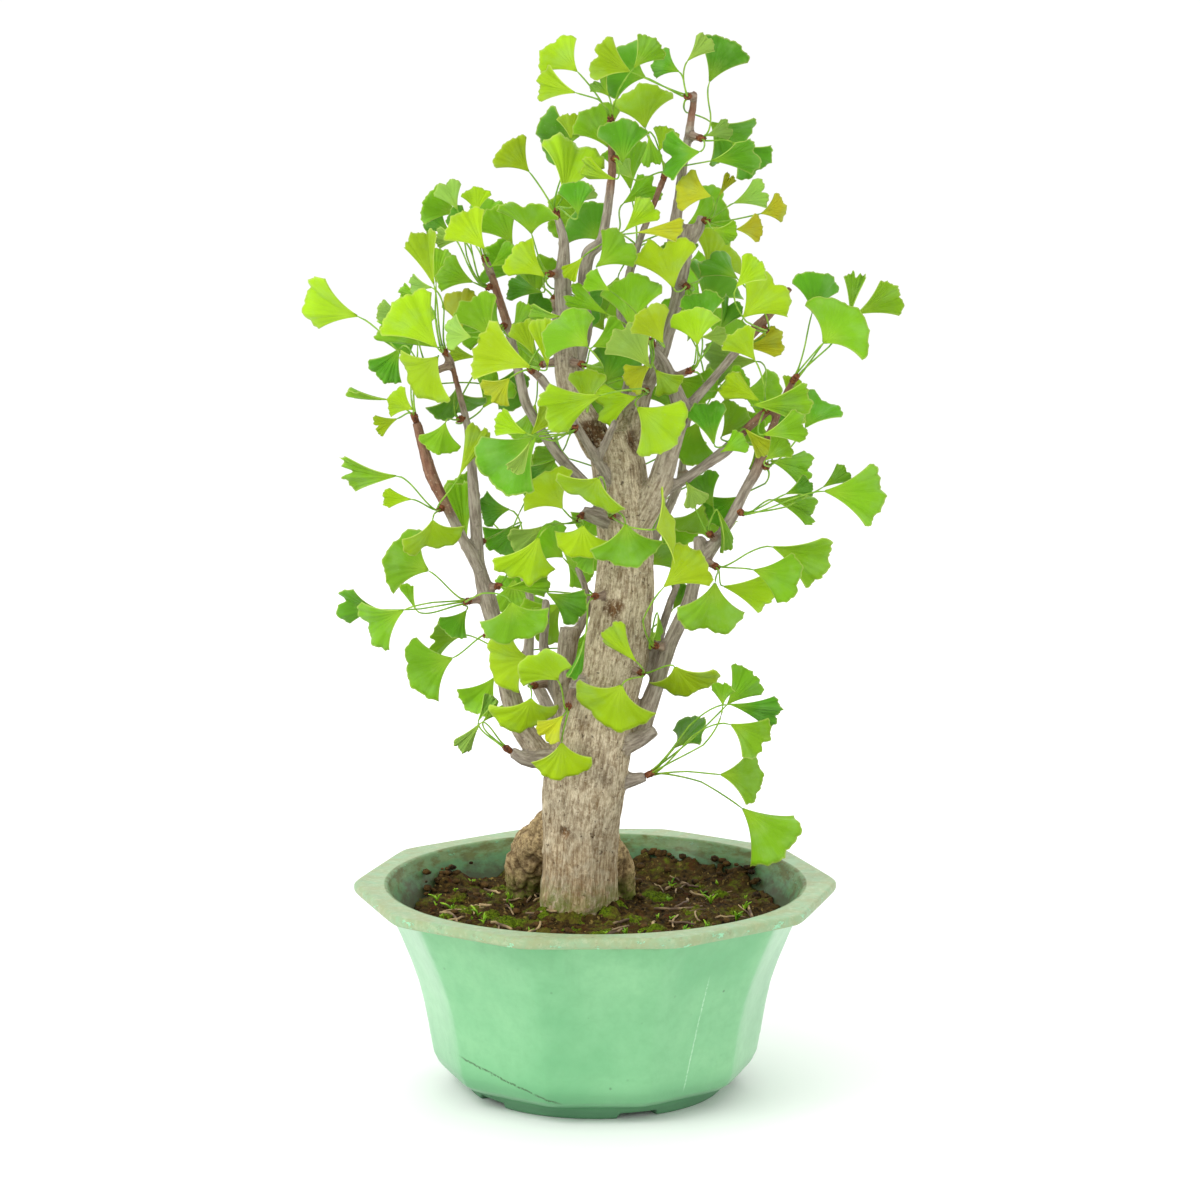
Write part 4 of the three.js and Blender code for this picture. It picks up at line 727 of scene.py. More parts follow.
# Limbs whose last part is a young shoot with smooth red-brown bark, and where along them it begins.
YOUNG = {
    "left_arm": 0.35, "right_fork": 0.5, "right_arm": 0.72, "right_side": 0.6, "second_leader": 0.72,
    "left_limb": 0.88, "upper_left": 0.75, "tall_shoot": 0.8, "thin_shoot": 0.75,
}
# fmt: on
EYE = np.array([3.0, -2335.0, 700.0])  # where the elevation is seen from


def place(x, z, depth):
    """A point of the elevation at a depth: it slides along the line of sight from EYE."""
    reach = 1 - depth / EYE[1]
    return np.array([EYE[0] + (x - EYE[0]) * reach, depth, EYE[2] + (z - EYE[2]) * reach])


def spine(rows):
    """Axis points with the radius as a fourth number."""
    return np.array([[*place(x, z, depth), radius] for x, z, depth, radius in rows])


spines = {"trunk": spine(TRUNK), **{name: spine(rows) for name, rows in LIMBS.items()}}


def eased(nodes, steps):
    """A limb's axis and radius at even steps, its corners rounded by a moving average."""
    far = np.concatenate([[0], np.cumsum(np.linalg.norm(np.diff(nodes[:, :3], axis=0), axis=1))])
    at = np.linspace(0, far[-1], steps)
    fine = np.stack([np.interp(at, far, nodes[:, k]) for k in range(4)], 1)
    reach = int(np.clip(6 * steps / far[-1], 1, (steps - 2) // 2))
    ahead, behind = 2 * fine[:1] - fine[reach:0:-1], 2 * fine[-1:] - fine[-2 : -reach - 2 : -1]
    weight = np.hanning(2 * reach + 3)[1:-1]
    whole = np.concatenate([ahead, fine, behind])
    smooth = [np.convolve(whole[:, k], weight / weight.sum(), "valid") for k in range(4)]
    return np.stack(smooth, 1), at


def limb_frames(axis):
    """Two directions square to an axis: the first lies across the front elevation."""
    run = unit(np.gradient(axis, axis=0))
    across = unit(np.cross([0.0, 1, 0], run))
    return across, np.cross(run, across)


def tube(nodes, steps, sides, fluted=False):
    """Rings of points round a limb; the trunk's radius swells by two slow waves round and up it."""
    line, _ = eased(nodes, steps)
    across, ahead = limb_frames(line[:, :3])
    turn = turns(sides)
    radius = line[:, 3:4] + 0 * turn
    if fluted:
        height = line[:, 2:3]
        radius *= 1 + 0.05 * np.sin(3 * turn + height / 37) + 0.03 * np.sin(5 * turn - height / 23)
    ring = across[:, None] * np.cos(turn)[..., None] - ahead[:, None] * np.sin(turn)[..., None]
    points = line[:, None, :3] + ring * radius[..., None]
    near = np.arange(sides)
    caps = np.stack([near, (steps - 1) * sides + near[::-1]])
    return points.reshape(-1, 3), grid_faces(steps, sides, False, True)[:, ::-1], caps


def nearest_wood(point):
    """The nearest bark: the spot on a limb's straight-laid axis, and the radius there."""
    best = (np.inf,)
    for nodes in spines.values():
        start, run = nodes[:-1], np.diff(nodes, axis=0)
        share = ((point - start[:, :3]) * run[:, :3]).sum(1) / (run[:, :3] ** 2).sum(1)
        spot = start + run * np.clip(share, 0, 1)[:, None]
        away = np.linalg.norm(point - spot[:, :3], axis=1) - spot[:, 3]
        i = int(away.argmin())
        if away[i] < best[0]:
            best = (away[i], spot[i, :3], spot[i, 3])
    return best[1], best[2]


def seat_bud(at):
    """Where a bud's foot is, and which way it points: out from the limb's axis to the wanted spot. One
    that is wanted well clear of the bark is carried there by a spur shoot."""
    wanted = place(*at)
    axis, radius = nearest_wood(wanted)
    distance = np.linalg.norm(wanted - axis)
    out = (wanted - axis) / distance
    carried = distance > radius + 3.5
    tip = axis + out * (distance if carried else radius)
    return {"axis": axis, "out": out, "tip": tip, "carried": carried}


# Leaf colours as seen: young, grown, a darker green for painted shade, dull and yellowing.
LIME, GREEN, SHADED_GREEN, PALE, GOLD = 0x98BC06, 0x78AE0C, 0x56980C, 0x90BA48, 0xB0B818
# Each spray's bud as x, z and depth, then its leaves: x, z and depth of the blade's root, aim of its
# midline in degrees, length, spread of the fan, lean towards the viewer, turn and colour. The sprays
# at the back have a bud and a number of leaves.
# fmt: off
SPRAYS = [
    ((9, 581, 0), [
        (-10, 606, -8, 140, 23, 76, 15, 0, LIME), (-11, 594, -20, 165, 24, 48, 10, 20, LIME),
        (8, 592, -4, 128, 15, 56, 20, 0, GREEN), (22, 608, -14, 48, 20, 60, 10, 10, GREEN),
    ]),
    ((54, 592, 8), [
        (21, 606, 0, 157, 24, 66, 10, 0, LIME), (49, 606, 4, 155, 17, 64, 25, 20, SHADED_GREEN),
        (53, 612, 20, 45, 18, 42, 0, 35, PALE),
    ]),
    ((61, 568, 10), [
        (64, 569, 12, 18, 16, 44, 10, 20, PALE), (61, 560, -8, 193, 24, 74, 15, 0, SHADED_GREEN),
    ]),
    ((13, 556, -5), [
        (16, 553, -14, 91, 24, 74, 10, 0, SHADED_GREEN), (8, 562, 18, 116, 25, 72, 0, 0, GREEN),
        (12, 544, -22, 166, 21, 42, 30, 0, LIME),
    ]),
    ((41, 548, 10), [
        (29, 573, 8, 98, 26, 84, 0, 0, LIME), (22, 544, -8, 130, 13, 62, 0, 0, PALE),
        (31, 570, -14, 282, 18, 42, 10, 20, GREEN), (37, 560, 26, 70, 15, 60, 0, 0, LIME),
    ]),
    ((9, 512, -4), [
        (16, 530, 10, 32, 23, 52, 10, 0, GREEN), (24, 513, -26, 12, 26, 34, 0, 20, GOLD),
        (17, 514, -14, 44, 22, 46, 0, 0, LIME), (1, 493, -28, 42, 23, 72, 15, 0, GREEN),
        (3, 508, 24, 128, 23, 96, 0, 0, SHADED_GREEN), (-7, 499, -20, 228, 15, 46, 0, 0, LIME),
    ]),
    ((-23, 526, -1), [
        (-19, 534, -16, 74, 36, 64, 10, 0, LIME), (-14, 567, 10, 92, 15, 56, 10, 20, LIME),
        (-12, 529, -30, 46, 14, 56, 10, 10, PALE), (-10, 523, 6, 96, 19, 62, 0, 0, SHADED_GREEN),
        (-38, 548, 2, 132, 22, 64, 0, 0, LIME),
    ]),
    ((-26, 489, -4), [
        (-37, 512, -22, 104, 25, 96, -20, 0, GREEN), (-29, 487, -16, 142, 24, 60, 10, 0, LIME),
        (-31, 478, 14, 165, 20, 50, 0, 0, SHADED_GREEN), (-48, 506, 16, 120, 24, 70, 0, 0, GREEN),
    ]),
    ((-64, 497, 3), [
        (-69, 524, -12, 93, 15, 66, 10, 0, LIME), (-68, 512, 12, 76, 22, 64, 0, 0, GREEN),
        (-71, 517, 0, 150, 15, 60, 0, 0, SHADED_GREEN), (-64, 503, -26, 132, 25, 66, 20, 0, LIME),
        (-61, 493, -10, 38, 17, 58, 0, 0, GREEN),
    ]),
    ((-63, 481, 4), [
        (-80, 524, 6, 156, 21, 72, 0, 0, GREEN), (-80, 526, -14, 116, 17, 58, 0, 0, PALE),
        (-85, 514, 12, 148, 15, 70, 0, 0, SHADED_GREEN), (-78, 509, -18, 176, 15, 46, 10, 0, PALE),
        (-71, 484, -4, 160, 21, 60, 10, 0, GREEN),
    ]),
    ((-88, 443, -6), [
        (-94, 482, -8, 107, 31, 38, 0, 25, LIME), (-93, 483, 10, 88, 20, 46, 0, 10, GREEN),
        (-95, 481, -20, 172, 14, 46, 0, 0, PALE), (-92, 445, -24, 128, 34, 62, 10, 0, LIME),
        (-93, 446, -40, 168, 35, 34, 15, 20, GREEN), (-100, 474, 6, 164, 15, 44, 0, 0, GREEN),
    ]),
    ((-94, 432, -12), [
        (-138, 464, 4, 164, 34, 66, 0, 0, LIME), (-112, 464, -16, 160, 15, 46, 0, 0, PALE),
        (-92, 441, -32, 237, 27, 96, 10, 0, LIME), (-114, 446, -12, 236, 22, 58, 10, 10, SHADED_GREEN),
    ]),
    ((-107, 407, -19), [
        (-120, 415, -20, 172, 24, 40, 0, 40, GREEN), (-107, 409, -34, 152, 15, 80, 10, 0, LIME),
        (-116, 404, -10, 200, 14, 50, 0, 20, LIME), (-104, 446, -2, 92, 24, 56, 0, 0, LIME),
    ]),
    ((-78, 404, -3), [
        (-82, 421, -30, 270, 21, 126, 15, 0, SHADED_GREEN), (-88, 402, -12, 255, 18, 82, 0, 0, GREEN),
        (-70, 440, 8, 170, 17, 44, 0, 0, LIME), (-66, 410, 12, 60, 22, 72, 0, 0, GREEN),
    ]),
    ((-55, 458, -2), [
        (-78, 456, 4, 100, 23, 62, 0, 0, GOLD), (-60, 450, -24, 120, 27, 60, 0, 0, GREEN),
        (-72, 452, -34, 172, 16, 74, 10, 0, PALE), (-49, 452, -14, 65, 20, 38, 0, 30, GREEN),
        (-44, 462, 18, 40, 20, 70, 0, 0, SHADED_GREEN),
    ]),
    ((-37, 432, -26), [
        (-37, 434, -40, 160, 34, 56, 10, 0, LIME), (-36, 441, -22, 112, 20, 52, 0, 0, LIME),
        (-20, 464, -28, 178, 19, 34, 10, 0, GREEN), (-50, 428, -28, 225, 17, 74, 0, 0, GOLD),
        (-28, 434, -48, 94, 27, 42, 0, 0, LIME),
    ]),
    ((65, 520, 12), [
        (68, 534, 0, 163, 20, 74, 0, 0, GOLD), (80, 530, 14, 22, 21, 48, 0, 10, PALE),
        (96, 524, 16, 14, 16, 62, 0, 0, GOLD), (82, 515, 4, 2, 15, 64, 0, 0, GOLD),
        (69, 515, -4, -14, 13, 72, 10, 0, GREEN), (72, 534, 26, 62, 14, 30, 0, 30, GOLD),
    ]),
    ((53, 482, 8), [
        (65, 490, 0, 61, 26, 100, 10, 0, LIME), (46, 480, -18, 105, 30, 72, 10, 0, LIME),
        (50, 486, 24, 94, 23, 52, 0, 0, GREEN), (64, 455, -2, 95, 23, 66, 0, 0, SHADED_GREEN),
    ]),
    ((101, 455, 8), [
        (86, 463, -12, 45, 29, 78, 10, 0, LIME), (82, 481, 6, 45, 20, 56, 0, 0, LIME),
        (86, 446, 22, 12, 24, 44, 0, 0, GOLD),
    ]),
    ((55, 432, -12), [
        (60, 447, -36, 98, 21, 84, -15, 0, LIME), (62, 452, -20, 10, 14, 60, 0, 0, PALE),
        (72, 455, -12, 60, 21, 52, 0, 0, SHADED_GREEN), (70, 420, 10, 20, 20, 60, 0, 0, GREEN),
    ]),
    ((33, 449, -9), [
        (32, 434, -36, 125, 28, 66, 10, 0, PALE), (40, 448, -20, 118, 22, 72, 0, 0, LIME),
        (33, 436, -46, 214, 19, 60, 0, 0, GOLD), (35, 433, -30, -48, 17, 72, 0, 0, LIME),
        (21, 456, -8, 88, 31, 76, 0, 0, GREEN), (8, 465, -26, 151, 26, 34, 0, 20, GREEN),
        (9, 479, -14, 150, 16, 52, 0, 0, GREEN),
    ]),
    ((80, 389, -8), [
        (74, 393, 8, 45, 21, 72, 0, 0, GREEN), (74, 384, 12, 32, 16, 54, 0, 0, GREEN),
        (88, 398, -24, -44, 19, 40, 0, 20, GOLD), (70, 388, 22, 104, 25, 54, 0, 0, SHADED_GREEN),
        (94, 388, 6, -80, 16, 42, 0, 20, GREEN),
    ]),
    ((100, 409, -9), [
        (92, 412, -26, 0, 33, 40, 10, 10, GREEN), (97, 414, -10, 148, 23, 48, 0, 0, LIME),
        (95, 438, -18, 188, 34, 46, 10, 0, PALE), (94, 438, -34, 128, 21, 64, 0, 0, LIME),
        (98, 394, 4, 14, 25, 44, 0, 0, GREEN),
    ]),
    ((119, 430, -6), [
        (133, 448, -6, 45, 27, 124, 0, 0, GREEN), (149, 465, 4, 78, 24, 34, 0, 40, GREEN),
        (152, 465, 10, 30, 28, 54, 0, 0, GREEN), (112, 415, -14, 64, 14, 62, 0, 0, LIME),
    ]),
    ((102, 375, -4), [
        (100, 379, -8, 44, 17, 66, 0, 0, GREEN), (102, 379, 10, -10, 26, 44, 0, 0, GREEN),
        (104, 390, 20, 60, 20, 60, 0, 0, SHADED_GREEN),
    ]),
    ((88, 347, -6), [
        (112, 359, 6, 20, 16, 46, 0, 0, SHADED_GREEN), (104, 356, -10, -14, 29, 42, 0, 0, GREEN),
        (134, 361, -14, -6, 36, 56, 0, 0, GREEN), (134, 363, 4, 36, 17, 42, 0, 0, GREEN),
    ]),
    ((68, 335, -6), [
        (72, 350, -12, -72, 24, 34, 0, 45, GREEN), (70, 351, 8, 124, 21, 70, 0, 0, SHADED_GREEN),
        (54, 366, 16, -62, 15, 60, 0, 0, PALE),
    ]),
    ((71, 316, -10), [
        (104, 328, -12, -19, 34, 54, 0, 15, GREEN), (93, 314, -26, -13, 27, 66, 0, 0, GREEN),
        (75, 304, -14, -8, 31, 54, 0, 0, LIME), (71, 307, -34, 264, 30, 86, 10, 0, GREEN),
    ]),
    ((36, 268, -5), [
        (40, 303, -16, 42, 28, 66, 0, 0, LIME), (37, 288, -14, 280, 16, 40, 0, 30, GREEN),
        (46, 290, -8, 60, 16, 60, 0, 0, SHADED_GREEN),
    ]),
    ((27, 252, -14), [
        (16, 245, -40, 247, 28, 150, 15, 0, LIME), (47, 256, -26, -58, 26, 156, 10, 0, LIME),
        (25, 258, -34, 138, 25, 46, 0, 30, LIME),
    ]),
    ((34, 191, -11), [
        (78, 232, -4, 46, 24, 60, 0, 0, GREEN), (79, 233, -18, -14, 30, 34, 0, 10, SHADED_GREEN),
        (76, 232, -28, 100, 13, 80, 0, 30, GREEN), (80, 221, -34, -26, 24, 70, 0, 0, GREEN),
        (47, 206, -6, 45, 24, 110, 0, 74, SHADED_GREEN), (74, 190, -20, -7, 25, 76, 0, 0, GREEN),
        (87, 170, -10, -37, 36, 66, 0, 0, GREEN),
    ]),
    ((-53, 206, -14), [
        (-68, 222, -20, 233, 20, 34, 0, 30, PALE), (-67, 222, -12, 44, 15, 46, 0, 0, GREEN),
        (-70, 222, -4, 62, 17, 26, 0, 30, PALE),
    ]),
    ((-16, 232, -22), [
        (-22, 247, -40, 128, 23, 120, 0, 0, LIME), (-19, 226, -36, 225, 17, 60, 0, 0, GOLD),
        (-20, 210, -34, 272, 22, 102, 0, 0, LIME),
    ]),
    ((-36, 244, 16), [
        (-38, 237, -24, 258, 25, 114, 10, 0, LIME), (-38, 260, -20, 182, 25, 114, 10, 0, LIME),
    ]),
    ((-66, 274, -10), [
        (-84, 261, -10, 200, 28, 84, 0, 0, GREEN), (-43, 278, -6, 34, 15, 54, 0, 0, GREEN),
    ]),
    ((-75, 295, -12), [
        (-98, 313, -20, 156, 26, 96, 0, 0, GREEN), (-106, 289, -20, 112, 17, 30, 0, 55, GREEN),
        (-128, 290, -8, 172, 24, 70, 0, 0, SHADED_GREEN), (-113, 290, -28, 213, 32, 58, 10, 0, GREEN),
        (-76, 290, 4, 232, 18, 62, 0, 0, SHADED_GREEN), (-50, 295, -34, 281, 24, 124, 15, 0, GREEN),
    ]),
    ((-58, 304, -12), [
        (-53, 303, -16, 6, 24, 40, 0, 10, GREEN), (-50, 350, 6, 186, 19, 64, 0, 0, SHADED_GREEN),
    ]),
    ((-92, 350, -18), [
        (-116, 370, -20, 183, 34, 42, 0, 0, GREEN), (-108, 356, -26, 178, 16, 44, 0, 0, LIME),
        (-96, 344, -36, 263, 24, 122, 20, 0, LIME), (-80, 370, -16, 68, 29, 34, 0, 20, LIME),
    ]),
    ((-66, 331, -2), [
        (-76, 331, 12, 97, 33, 34, 0, 20, GREEN), (-44, 341, 14, 226, 23, 74, 0, 0, SHADED_GREEN),
    ]),
    ((-9, 345, -11), [
        (-7, 341, -40, 262, 20, 110, 0, 0, LIME), (2, 328, -22, 216, 17, 70, 0, 0, GREEN),
        (-33, 334, -34, 250, 31, 76, 10, 0, LIME), (-31, 340, -22, 216, 21, 60, 0, 0, PALE),
        (-19, 350, -34, 130, 24, 90, 0, 0, LIME),
    ]),
    ((-13, 397, -24), [
        (-34, 394, -28, 221, 36, 74, 0, 0, SHADED_GREEN), (-50, 389, -44, 236, 15, 54, 0, 0, PALE),
        (-38, 391, -50, 240, 20, 34, 0, 20, PALE), (-40, 395, -44, 156, 19, 52, 0, 0, LIME),
        (-38, 394, -34, 48, 19, 44, 0, 0, LIME), (-23, 380, -14, 221, 27, 52, 0, 0, SHADED_GREEN),
    ]),
    ((10, 346, -14), [
        (18, 342, -34, 272, 27, 96, 0, 0, GREEN), (2, 369, -46, 242, 26, 116, 35, 0, LIME),
        (36, 338, -34, 2, 26, 110, 62, 0, LIME),
    ]),
    ((30, 420, -2), [
        (4, 418, -34, 198, 34, 58, 15, 0, LIME), (25, 417, -48, 196, 25, 60, 10, 0, LIME),
        (24, 411, -30, -38, 29, 84, 0, 0, LIME), (6, 425, -28, 62, 24, 92, 0, 0, SHADED_GREEN),
    ]),
    ((-8, 436, -8), [
        (-4, 446, -28, 136, 25, 102, 0, 0, GREEN), (-5, 410, -42, 88, 21, 58, -10, 0, LIME),
        (-2, 446, -8, 26, 22, 60, 0, 0, GREEN),
    ]),
    ((0, 298, -16), [
        (-29, 300, -20, -28, 24, 62, 0, 0, SHADED_GREEN), (-6, 274, -22, 254, 24, 34, 0, 30, SHADED_GREEN),
    ]),
]
BACK_SPRAYS = [
    ((14, 366, 92), 5), ((2, 298, 74), 4), ((-50, 330, 102), 4), ((-48, 262, 84), 4),
    ((64, 424, 92), 5), ((58, 370, 78), 4), ((-24, 474, 72), 4), ((-30, 436, 70), 4),
    ((24, 504, 62), 5), ((26, 430, 50), 4),
]
# fmt: on

buds = [seat_bud(at) for at, _ in [*SPRAYS, *BACK_SPRAYS]]


VOXEL = 1.45  # millimetres
SHOOT_FOOT, SHOOT_TIP = 2.7, 2.4


def wood_mesh():
    """All limbs and spur shoots as one skin: closed tubes, joined by a voxel remesh and smoothed."""
    pieces = [tube(spines["trunk"], 220, 72, True)]
    pieces += [tube(nodes, 90, 24) for name, nodes in spines.items() if name != "trunk"]
    shoots = [([*b["axis"], SHOOT_FOOT], [*b["tip"], SHOOT_TIP]) for b in buds if b["carried"]]
    pieces += [tube(np.array(nodes), 12, 12) for nodes in shoots]
    points, sides, caps = zip(*pieces)
    starts = np.cumsum([0] + [len(some) for some in points])
    faces = [group + n for groups in (sides, caps) for group, n in zip(groups, starts)]
    rough = shape("rough_wood", np.concatenate(points), faces)
    remesh = rough.modifiers.new("skin", "REMESH")
    remesh.mode, remesh.voxel_size = "VOXEL", VOXEL * MM
    ease = rough.modifiers.new("ease", "SMOOTH")
    ease.factor, ease.iterations = 0.5, 3
    seen = rough.evaluated_get(bpy.context.evaluated_depsgraph_get())
    found = bpy.data.meshes.new_from_object(seen)
    bpy.data.objects.remove(rough)
    return found


def read(rows, name):
    """A vector of each of a mesh's points or normals, as rows of three."""
    values = np.empty(len(rows) * 3, np.float32)
    rows.foreach_get(name, values)
    return values.reshape(-1, 3).astype(float)


def mark(mesh, name, values, kind=None):
    """Keeps a number, a vector or a colour for each point of a mesh, for its material."""
    values = np.asarray(values, np.float32)
    kind = kind or ("FLOAT" if values.ndim == 1 else "FLOAT_VECTOR")
    field = {"FLOAT": "value", "FLOAT_VECTOR": "vector", "FLOAT_COLOR": "color"}[kind]
    mesh.attributes.new(name, kind, "POINT").data.foreach_set(field, values.ravel())


skin = wood_mesh()
centre_mm = np.array([AXIS[0], AXIS[1], 0])
bark_points = read(skin.vertices, "co") / MM - centre_mm
bark_normals = read(skin.vertex_normals, "vector")

# Samples along every limb: place, radius, two cross directions, distance along, youth and number.
samples = []


def sample(line, at, young, number):
    """Adds the samples of one limb, whose line has the radius as its fourth number."""
    across, ahead = limb_frames(line[:, :3])
    number = np.full(len(line), number)
    samples.append(np.column_stack([line, across, ahead, at, young, number]))


for number, (name, nodes) in enumerate(spines.items()):
    length = np.linalg.norm(np.diff(nodes[:, :3], axis=0), axis=1).sum()
    line, at = eased(nodes, max(6, int(length / 3)))
    sample(line, at, np.clip((at / at[-1] - YOUNG.get(name, 2)) / 0.08, 0, 1), number)
for number, bud in enumerate(buds):
    if bud["carried"]:
        line = np.linspace([*bud["axis"], SHOOT_FOOT], [*bud["tip"], SHOOT_TIP], 5)
        sample(line, np.linspace(0, 12, 5), np.full(5, 0.5), 60 + number)
samples = np.concatenate(samples)


def nearest_sample(points, chunk=4000):
    """For each point the sample whose bark is closest, worked out some thousands at a time."""
    found = []
    for start in range(0, len(points), chunk):
        some = points[start : start + chunk, None]
        away = np.sqrt(((some - samples[None, :, :3]) ** 2).sum(-1)) - samples[None, :, 3]
        found.append(away.argmin(1))
    return np.concatenate(found)


owner = samples[nearest_sample(bark_points)]
radial = bark_points - owner[:, :3]
girth, young = owner[:, 3], owner[:, 11]
run = np.cross(owner[:, 4:7], owner[:, 7:10])
along = owner[:, 10] + (radial * run).sum(1)
# The grain place unrolls each limb: two directions across it and a shortened one along it, so noise
# read there comes out as streaks that follow the limb.
wide, deep = [(radial * owner[:, at : at + 3]).sum(1) for at in (4, 7)]
grain = np.stack([wide, deep, 0.16 * along + 37 * owner[:, 12]], 1)

# Wounds on the bark, as x, z, radius, depth of the hollow and height of the callus ring round it.
# fmt: off
WOUNDS = [
    (0, 393, 10, 4.5, 0.8), (26, 392, 7, 2.5, 0.5), (12, 291, 6, 0.8, 0), (22, 373, 4, -0.6, 0.9),
    (-18, 155, 3.5, 1.8, 0.5), (-2, 205, 7, 0.5, 0.2), (16, 322, 5, 0.5, 0.2),
    (-13, 284, 4, 1, 0.5), (48, 404, 5, 1.2, 0.5), (60, 318, 4, 1.2, 0.6),
]
# fmt: on
bark = np.clip(girth / 20, 0.1, 1)
plates = lumps(bark_points, 14, 40) > -0.2
fissures = np.clip(1 - np.abs(lumps(grain, 4.2, 41)) / 0.16, 0, 1) ** 2 * plates
cracks = np.clip(1 - np.abs(lumps(grain, 2.1, 42)) / 0.25, 0, 1) ** 2
swell = 0.8 * lumps(bark_points, 17, 43) + 0.4 * lumps(bark_points, 5, 44)
lift = bark * (swell - 0.6 * fissures - 0.35 * cracks + 0.3 * lumps(grain, 1.4, 45))
# The surface roots are gnarled: lumpy, and cut into crags.
roots = [number for number, name in enumerate(spines) if name.startswith("root")]
gnarl = np.isin(owner[:, 12], roots) * 1.0
crags = np.clip(1 - np.abs(lumps(bark_points * [1, 1, 0.5], 6.5, 47)) / 0.3, 0, 1)
pitted = np.abs(lumps(bark_points, 3, 50))
lift += gnarl * (2.4 * lumps(bark_points, 13, 46) - 2.4 * crags - 1.6 * pitted + 1.2)
hurt = np.zeros(len(bark_points))
for x, z, radius, hollow, ring in WOUNDS:
    axis, thick = nearest_wood(place(x, z, 0))
    spot = place(x, z, axis[1] - 0.8 * thick)
    share = np.linalg.norm(bark_points - spot, axis=1) / radius
    share = share * (1 + 0.25 * lumps(bark_points, 5, 48))
    inside = np.clip(1.25 - share, 0, 1) ** 0.5 * (share < 1.25)
    lift += ring * np.exp(-(((share - 1.15) / 0.28) ** 2))
    lift -= hollow * inside * (0.7 + 0.3 * lumps(bark_points, 2.2, 49))
    hurt = np.maximum(hurt, np.clip(1.5 * inside, 0, 1) if hollow > 0.6 else 0.4 * inside)
# Old bud scars stand on the limbs as low knobs.
KNOBS = 260
knob_rng = np.random.default_rng(5)
knob_rows = samples[knob_rng.integers(0, len(samples), KNOBS)]
knob_turn = knob_rng.uniform(0, 2 * np.pi, (KNOBS, 1))
knob_out = knob_rows[:, 4:7] * np.cos(knob_turn) + knob_rows[:, 7:10] * np.sin(knob_turn)
knob_at, knob_size = knob_rows[:, :3] + knob_out * knob_rows[:, 3:4], 1.3 + 0.07 * knob_rows[:, 3]
for start in range(0, KNOBS, 20):
    size = knob_size[None, start : start + 20]
    away = np.linalg.norm(bark_points[:, None] - knob_at[None, start : start + 20], axis=-1) / size
    lift += (0.75 * size * np.exp(-(away**2) * 1.4)).sum(1) * 0.5
bark_points = bark_points + bark_normals * lift[:, None]
skin.vertices.foreach_set("co", ((bark_points + centre_mm) * MM).astype(np.float32).ravel())
skin.polygons.foreach_set("use_smooth", np.ones(len(skin.polygons), bool))
deep = np.clip(0.8 * fissures + 0.4 * cracks + gnarl * crags, 0, 1)
fields = {"girth": girth / 25, "young": young, "hurt": hurt, "deep": deep, "gnarl": gnarl}
for name, values in {**fields, "grain": grain * MM}.items():
    mark(skin, name, values)
skin.update()
wood = bpy.data.objects.new("trunk_and_branches_wood", skin)
bpy.context.scene.collection.objects.link(wood)

rind = Finish("ginkgo_bark", Roughness=0.85, Specular_IOR_Level=0.15)


def attribute(finish, name, output="Fac"):
    return finish.node("Attribute", {"attribute_name": name}, output=output)


field = {name: attribute(rind, name) for name in fields}
streak_place = attribute(rind, "grain", "Vector")
streaks = rind.noise(1.7, 5, 0.65, streak_place)
fibres = rind.noise(0.6, 3, 0.6, streak_place)
mottle = rind.noise(11, 5, 0.65)
patches = rind.noise(30, 4, 0.6)
specks = rind.noise(1.3, 3, 0.6)
net = rind.noise(2.4, 5, 0.75)
pits = rind.noise(2.6, 3, 0.55).over(0.65, 0.7)
grey = rind.layers(
    rind.blend(streaks.over(0.34, 0.6), 0x857052, 0xD6C8AA),
    (patches.over(0.5, 0.66) * 0.45, 0x8C8471),
    (mottle.over(0.5, 0.3) * 0.35, 0xD6C9AB),
    (fibres.over(0.5, 0.66) * 0.5, 0x6C5A40),
    (net.over(0.5, 0.6) * mottle.over(0.36, 0.56) * 0.55, 0x6E5A3E),
    (net.over(0.46, 0.38) * 0.5, 0xDED2B6),
    (field["deep"] * streaks.over(0.6, 0.42) * 0.65, 0x5C4C3A),
    (pits * 0.75, 0x3E3022),
)
# Thin limbs are smoother and greyer, and young shoots red-brown with pale lenticels.
twig = rind.blend(streaks.over(0.38, 0.6), 0x7D7264, 0xADA393)
slim = field["girth"].over(0.36, 0.2)
fresh = rind.layers(
    rind.blend(streaks.over(0.35, 0.65), 0x5E3220, 0x8E5838),
    (mottle.over(0.44, 0.6) * 0.6, 0x8C7058),
    (specks.over(0.6, 0.68) * 0.5, 0xB8977A),
)
lenticels = specks.over(0.66, 0.72) * slim
sore = rind.blend(streaks.over(0.35, 0.6), 0x2B1F15, 0x7A5B3D)
# Near the soil the bark is tan, its roots are darker in the crags, and moss has crept up.
height = rind.axis("Z")
tan = rind.blend(streaks.over(0.4, 0.6), 0x8C6C45, 0xCDB083)
gnarled = rind.blend(net.over(0.38, 0.62), 0x6A5230, 0xD2B988)
gnarled = rind.blend(field["deep"] * 0.75, gnarled, 0x4A3720)
mossy = (height + mottle * 0.03).over(0.143, 0.126) * rind.noise(5, 5, 0.7).over(0.4, 0.52)
colour = rind.layers(
    grey,
    (slim, twig),
    (field["young"] * 0.8, fresh),
    (lenticels * 0.6, 0xCDBDA4),
    (field["hurt"] * net.over(0.34, 0.5), sore),
    (height.over(0.168, 0.12) * mottle.over(0.36, 0.56) * 0.6, tan),
    (field["gnarl"] * 0.9, gnarled),
    (mossy * 0.8, 0x6F7D2C),
)
rind.wear(Base_Color=colour, Roughness=0.9 - 0.25 * field["young"])
rind.bump(0.7 * streaks + 0.5 * fibres + 0.7 * net - 0.6 * pits, 0.7)
wood.data.materials.clear()
wood.data.materials.append(rind.material)
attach(wood, "root")
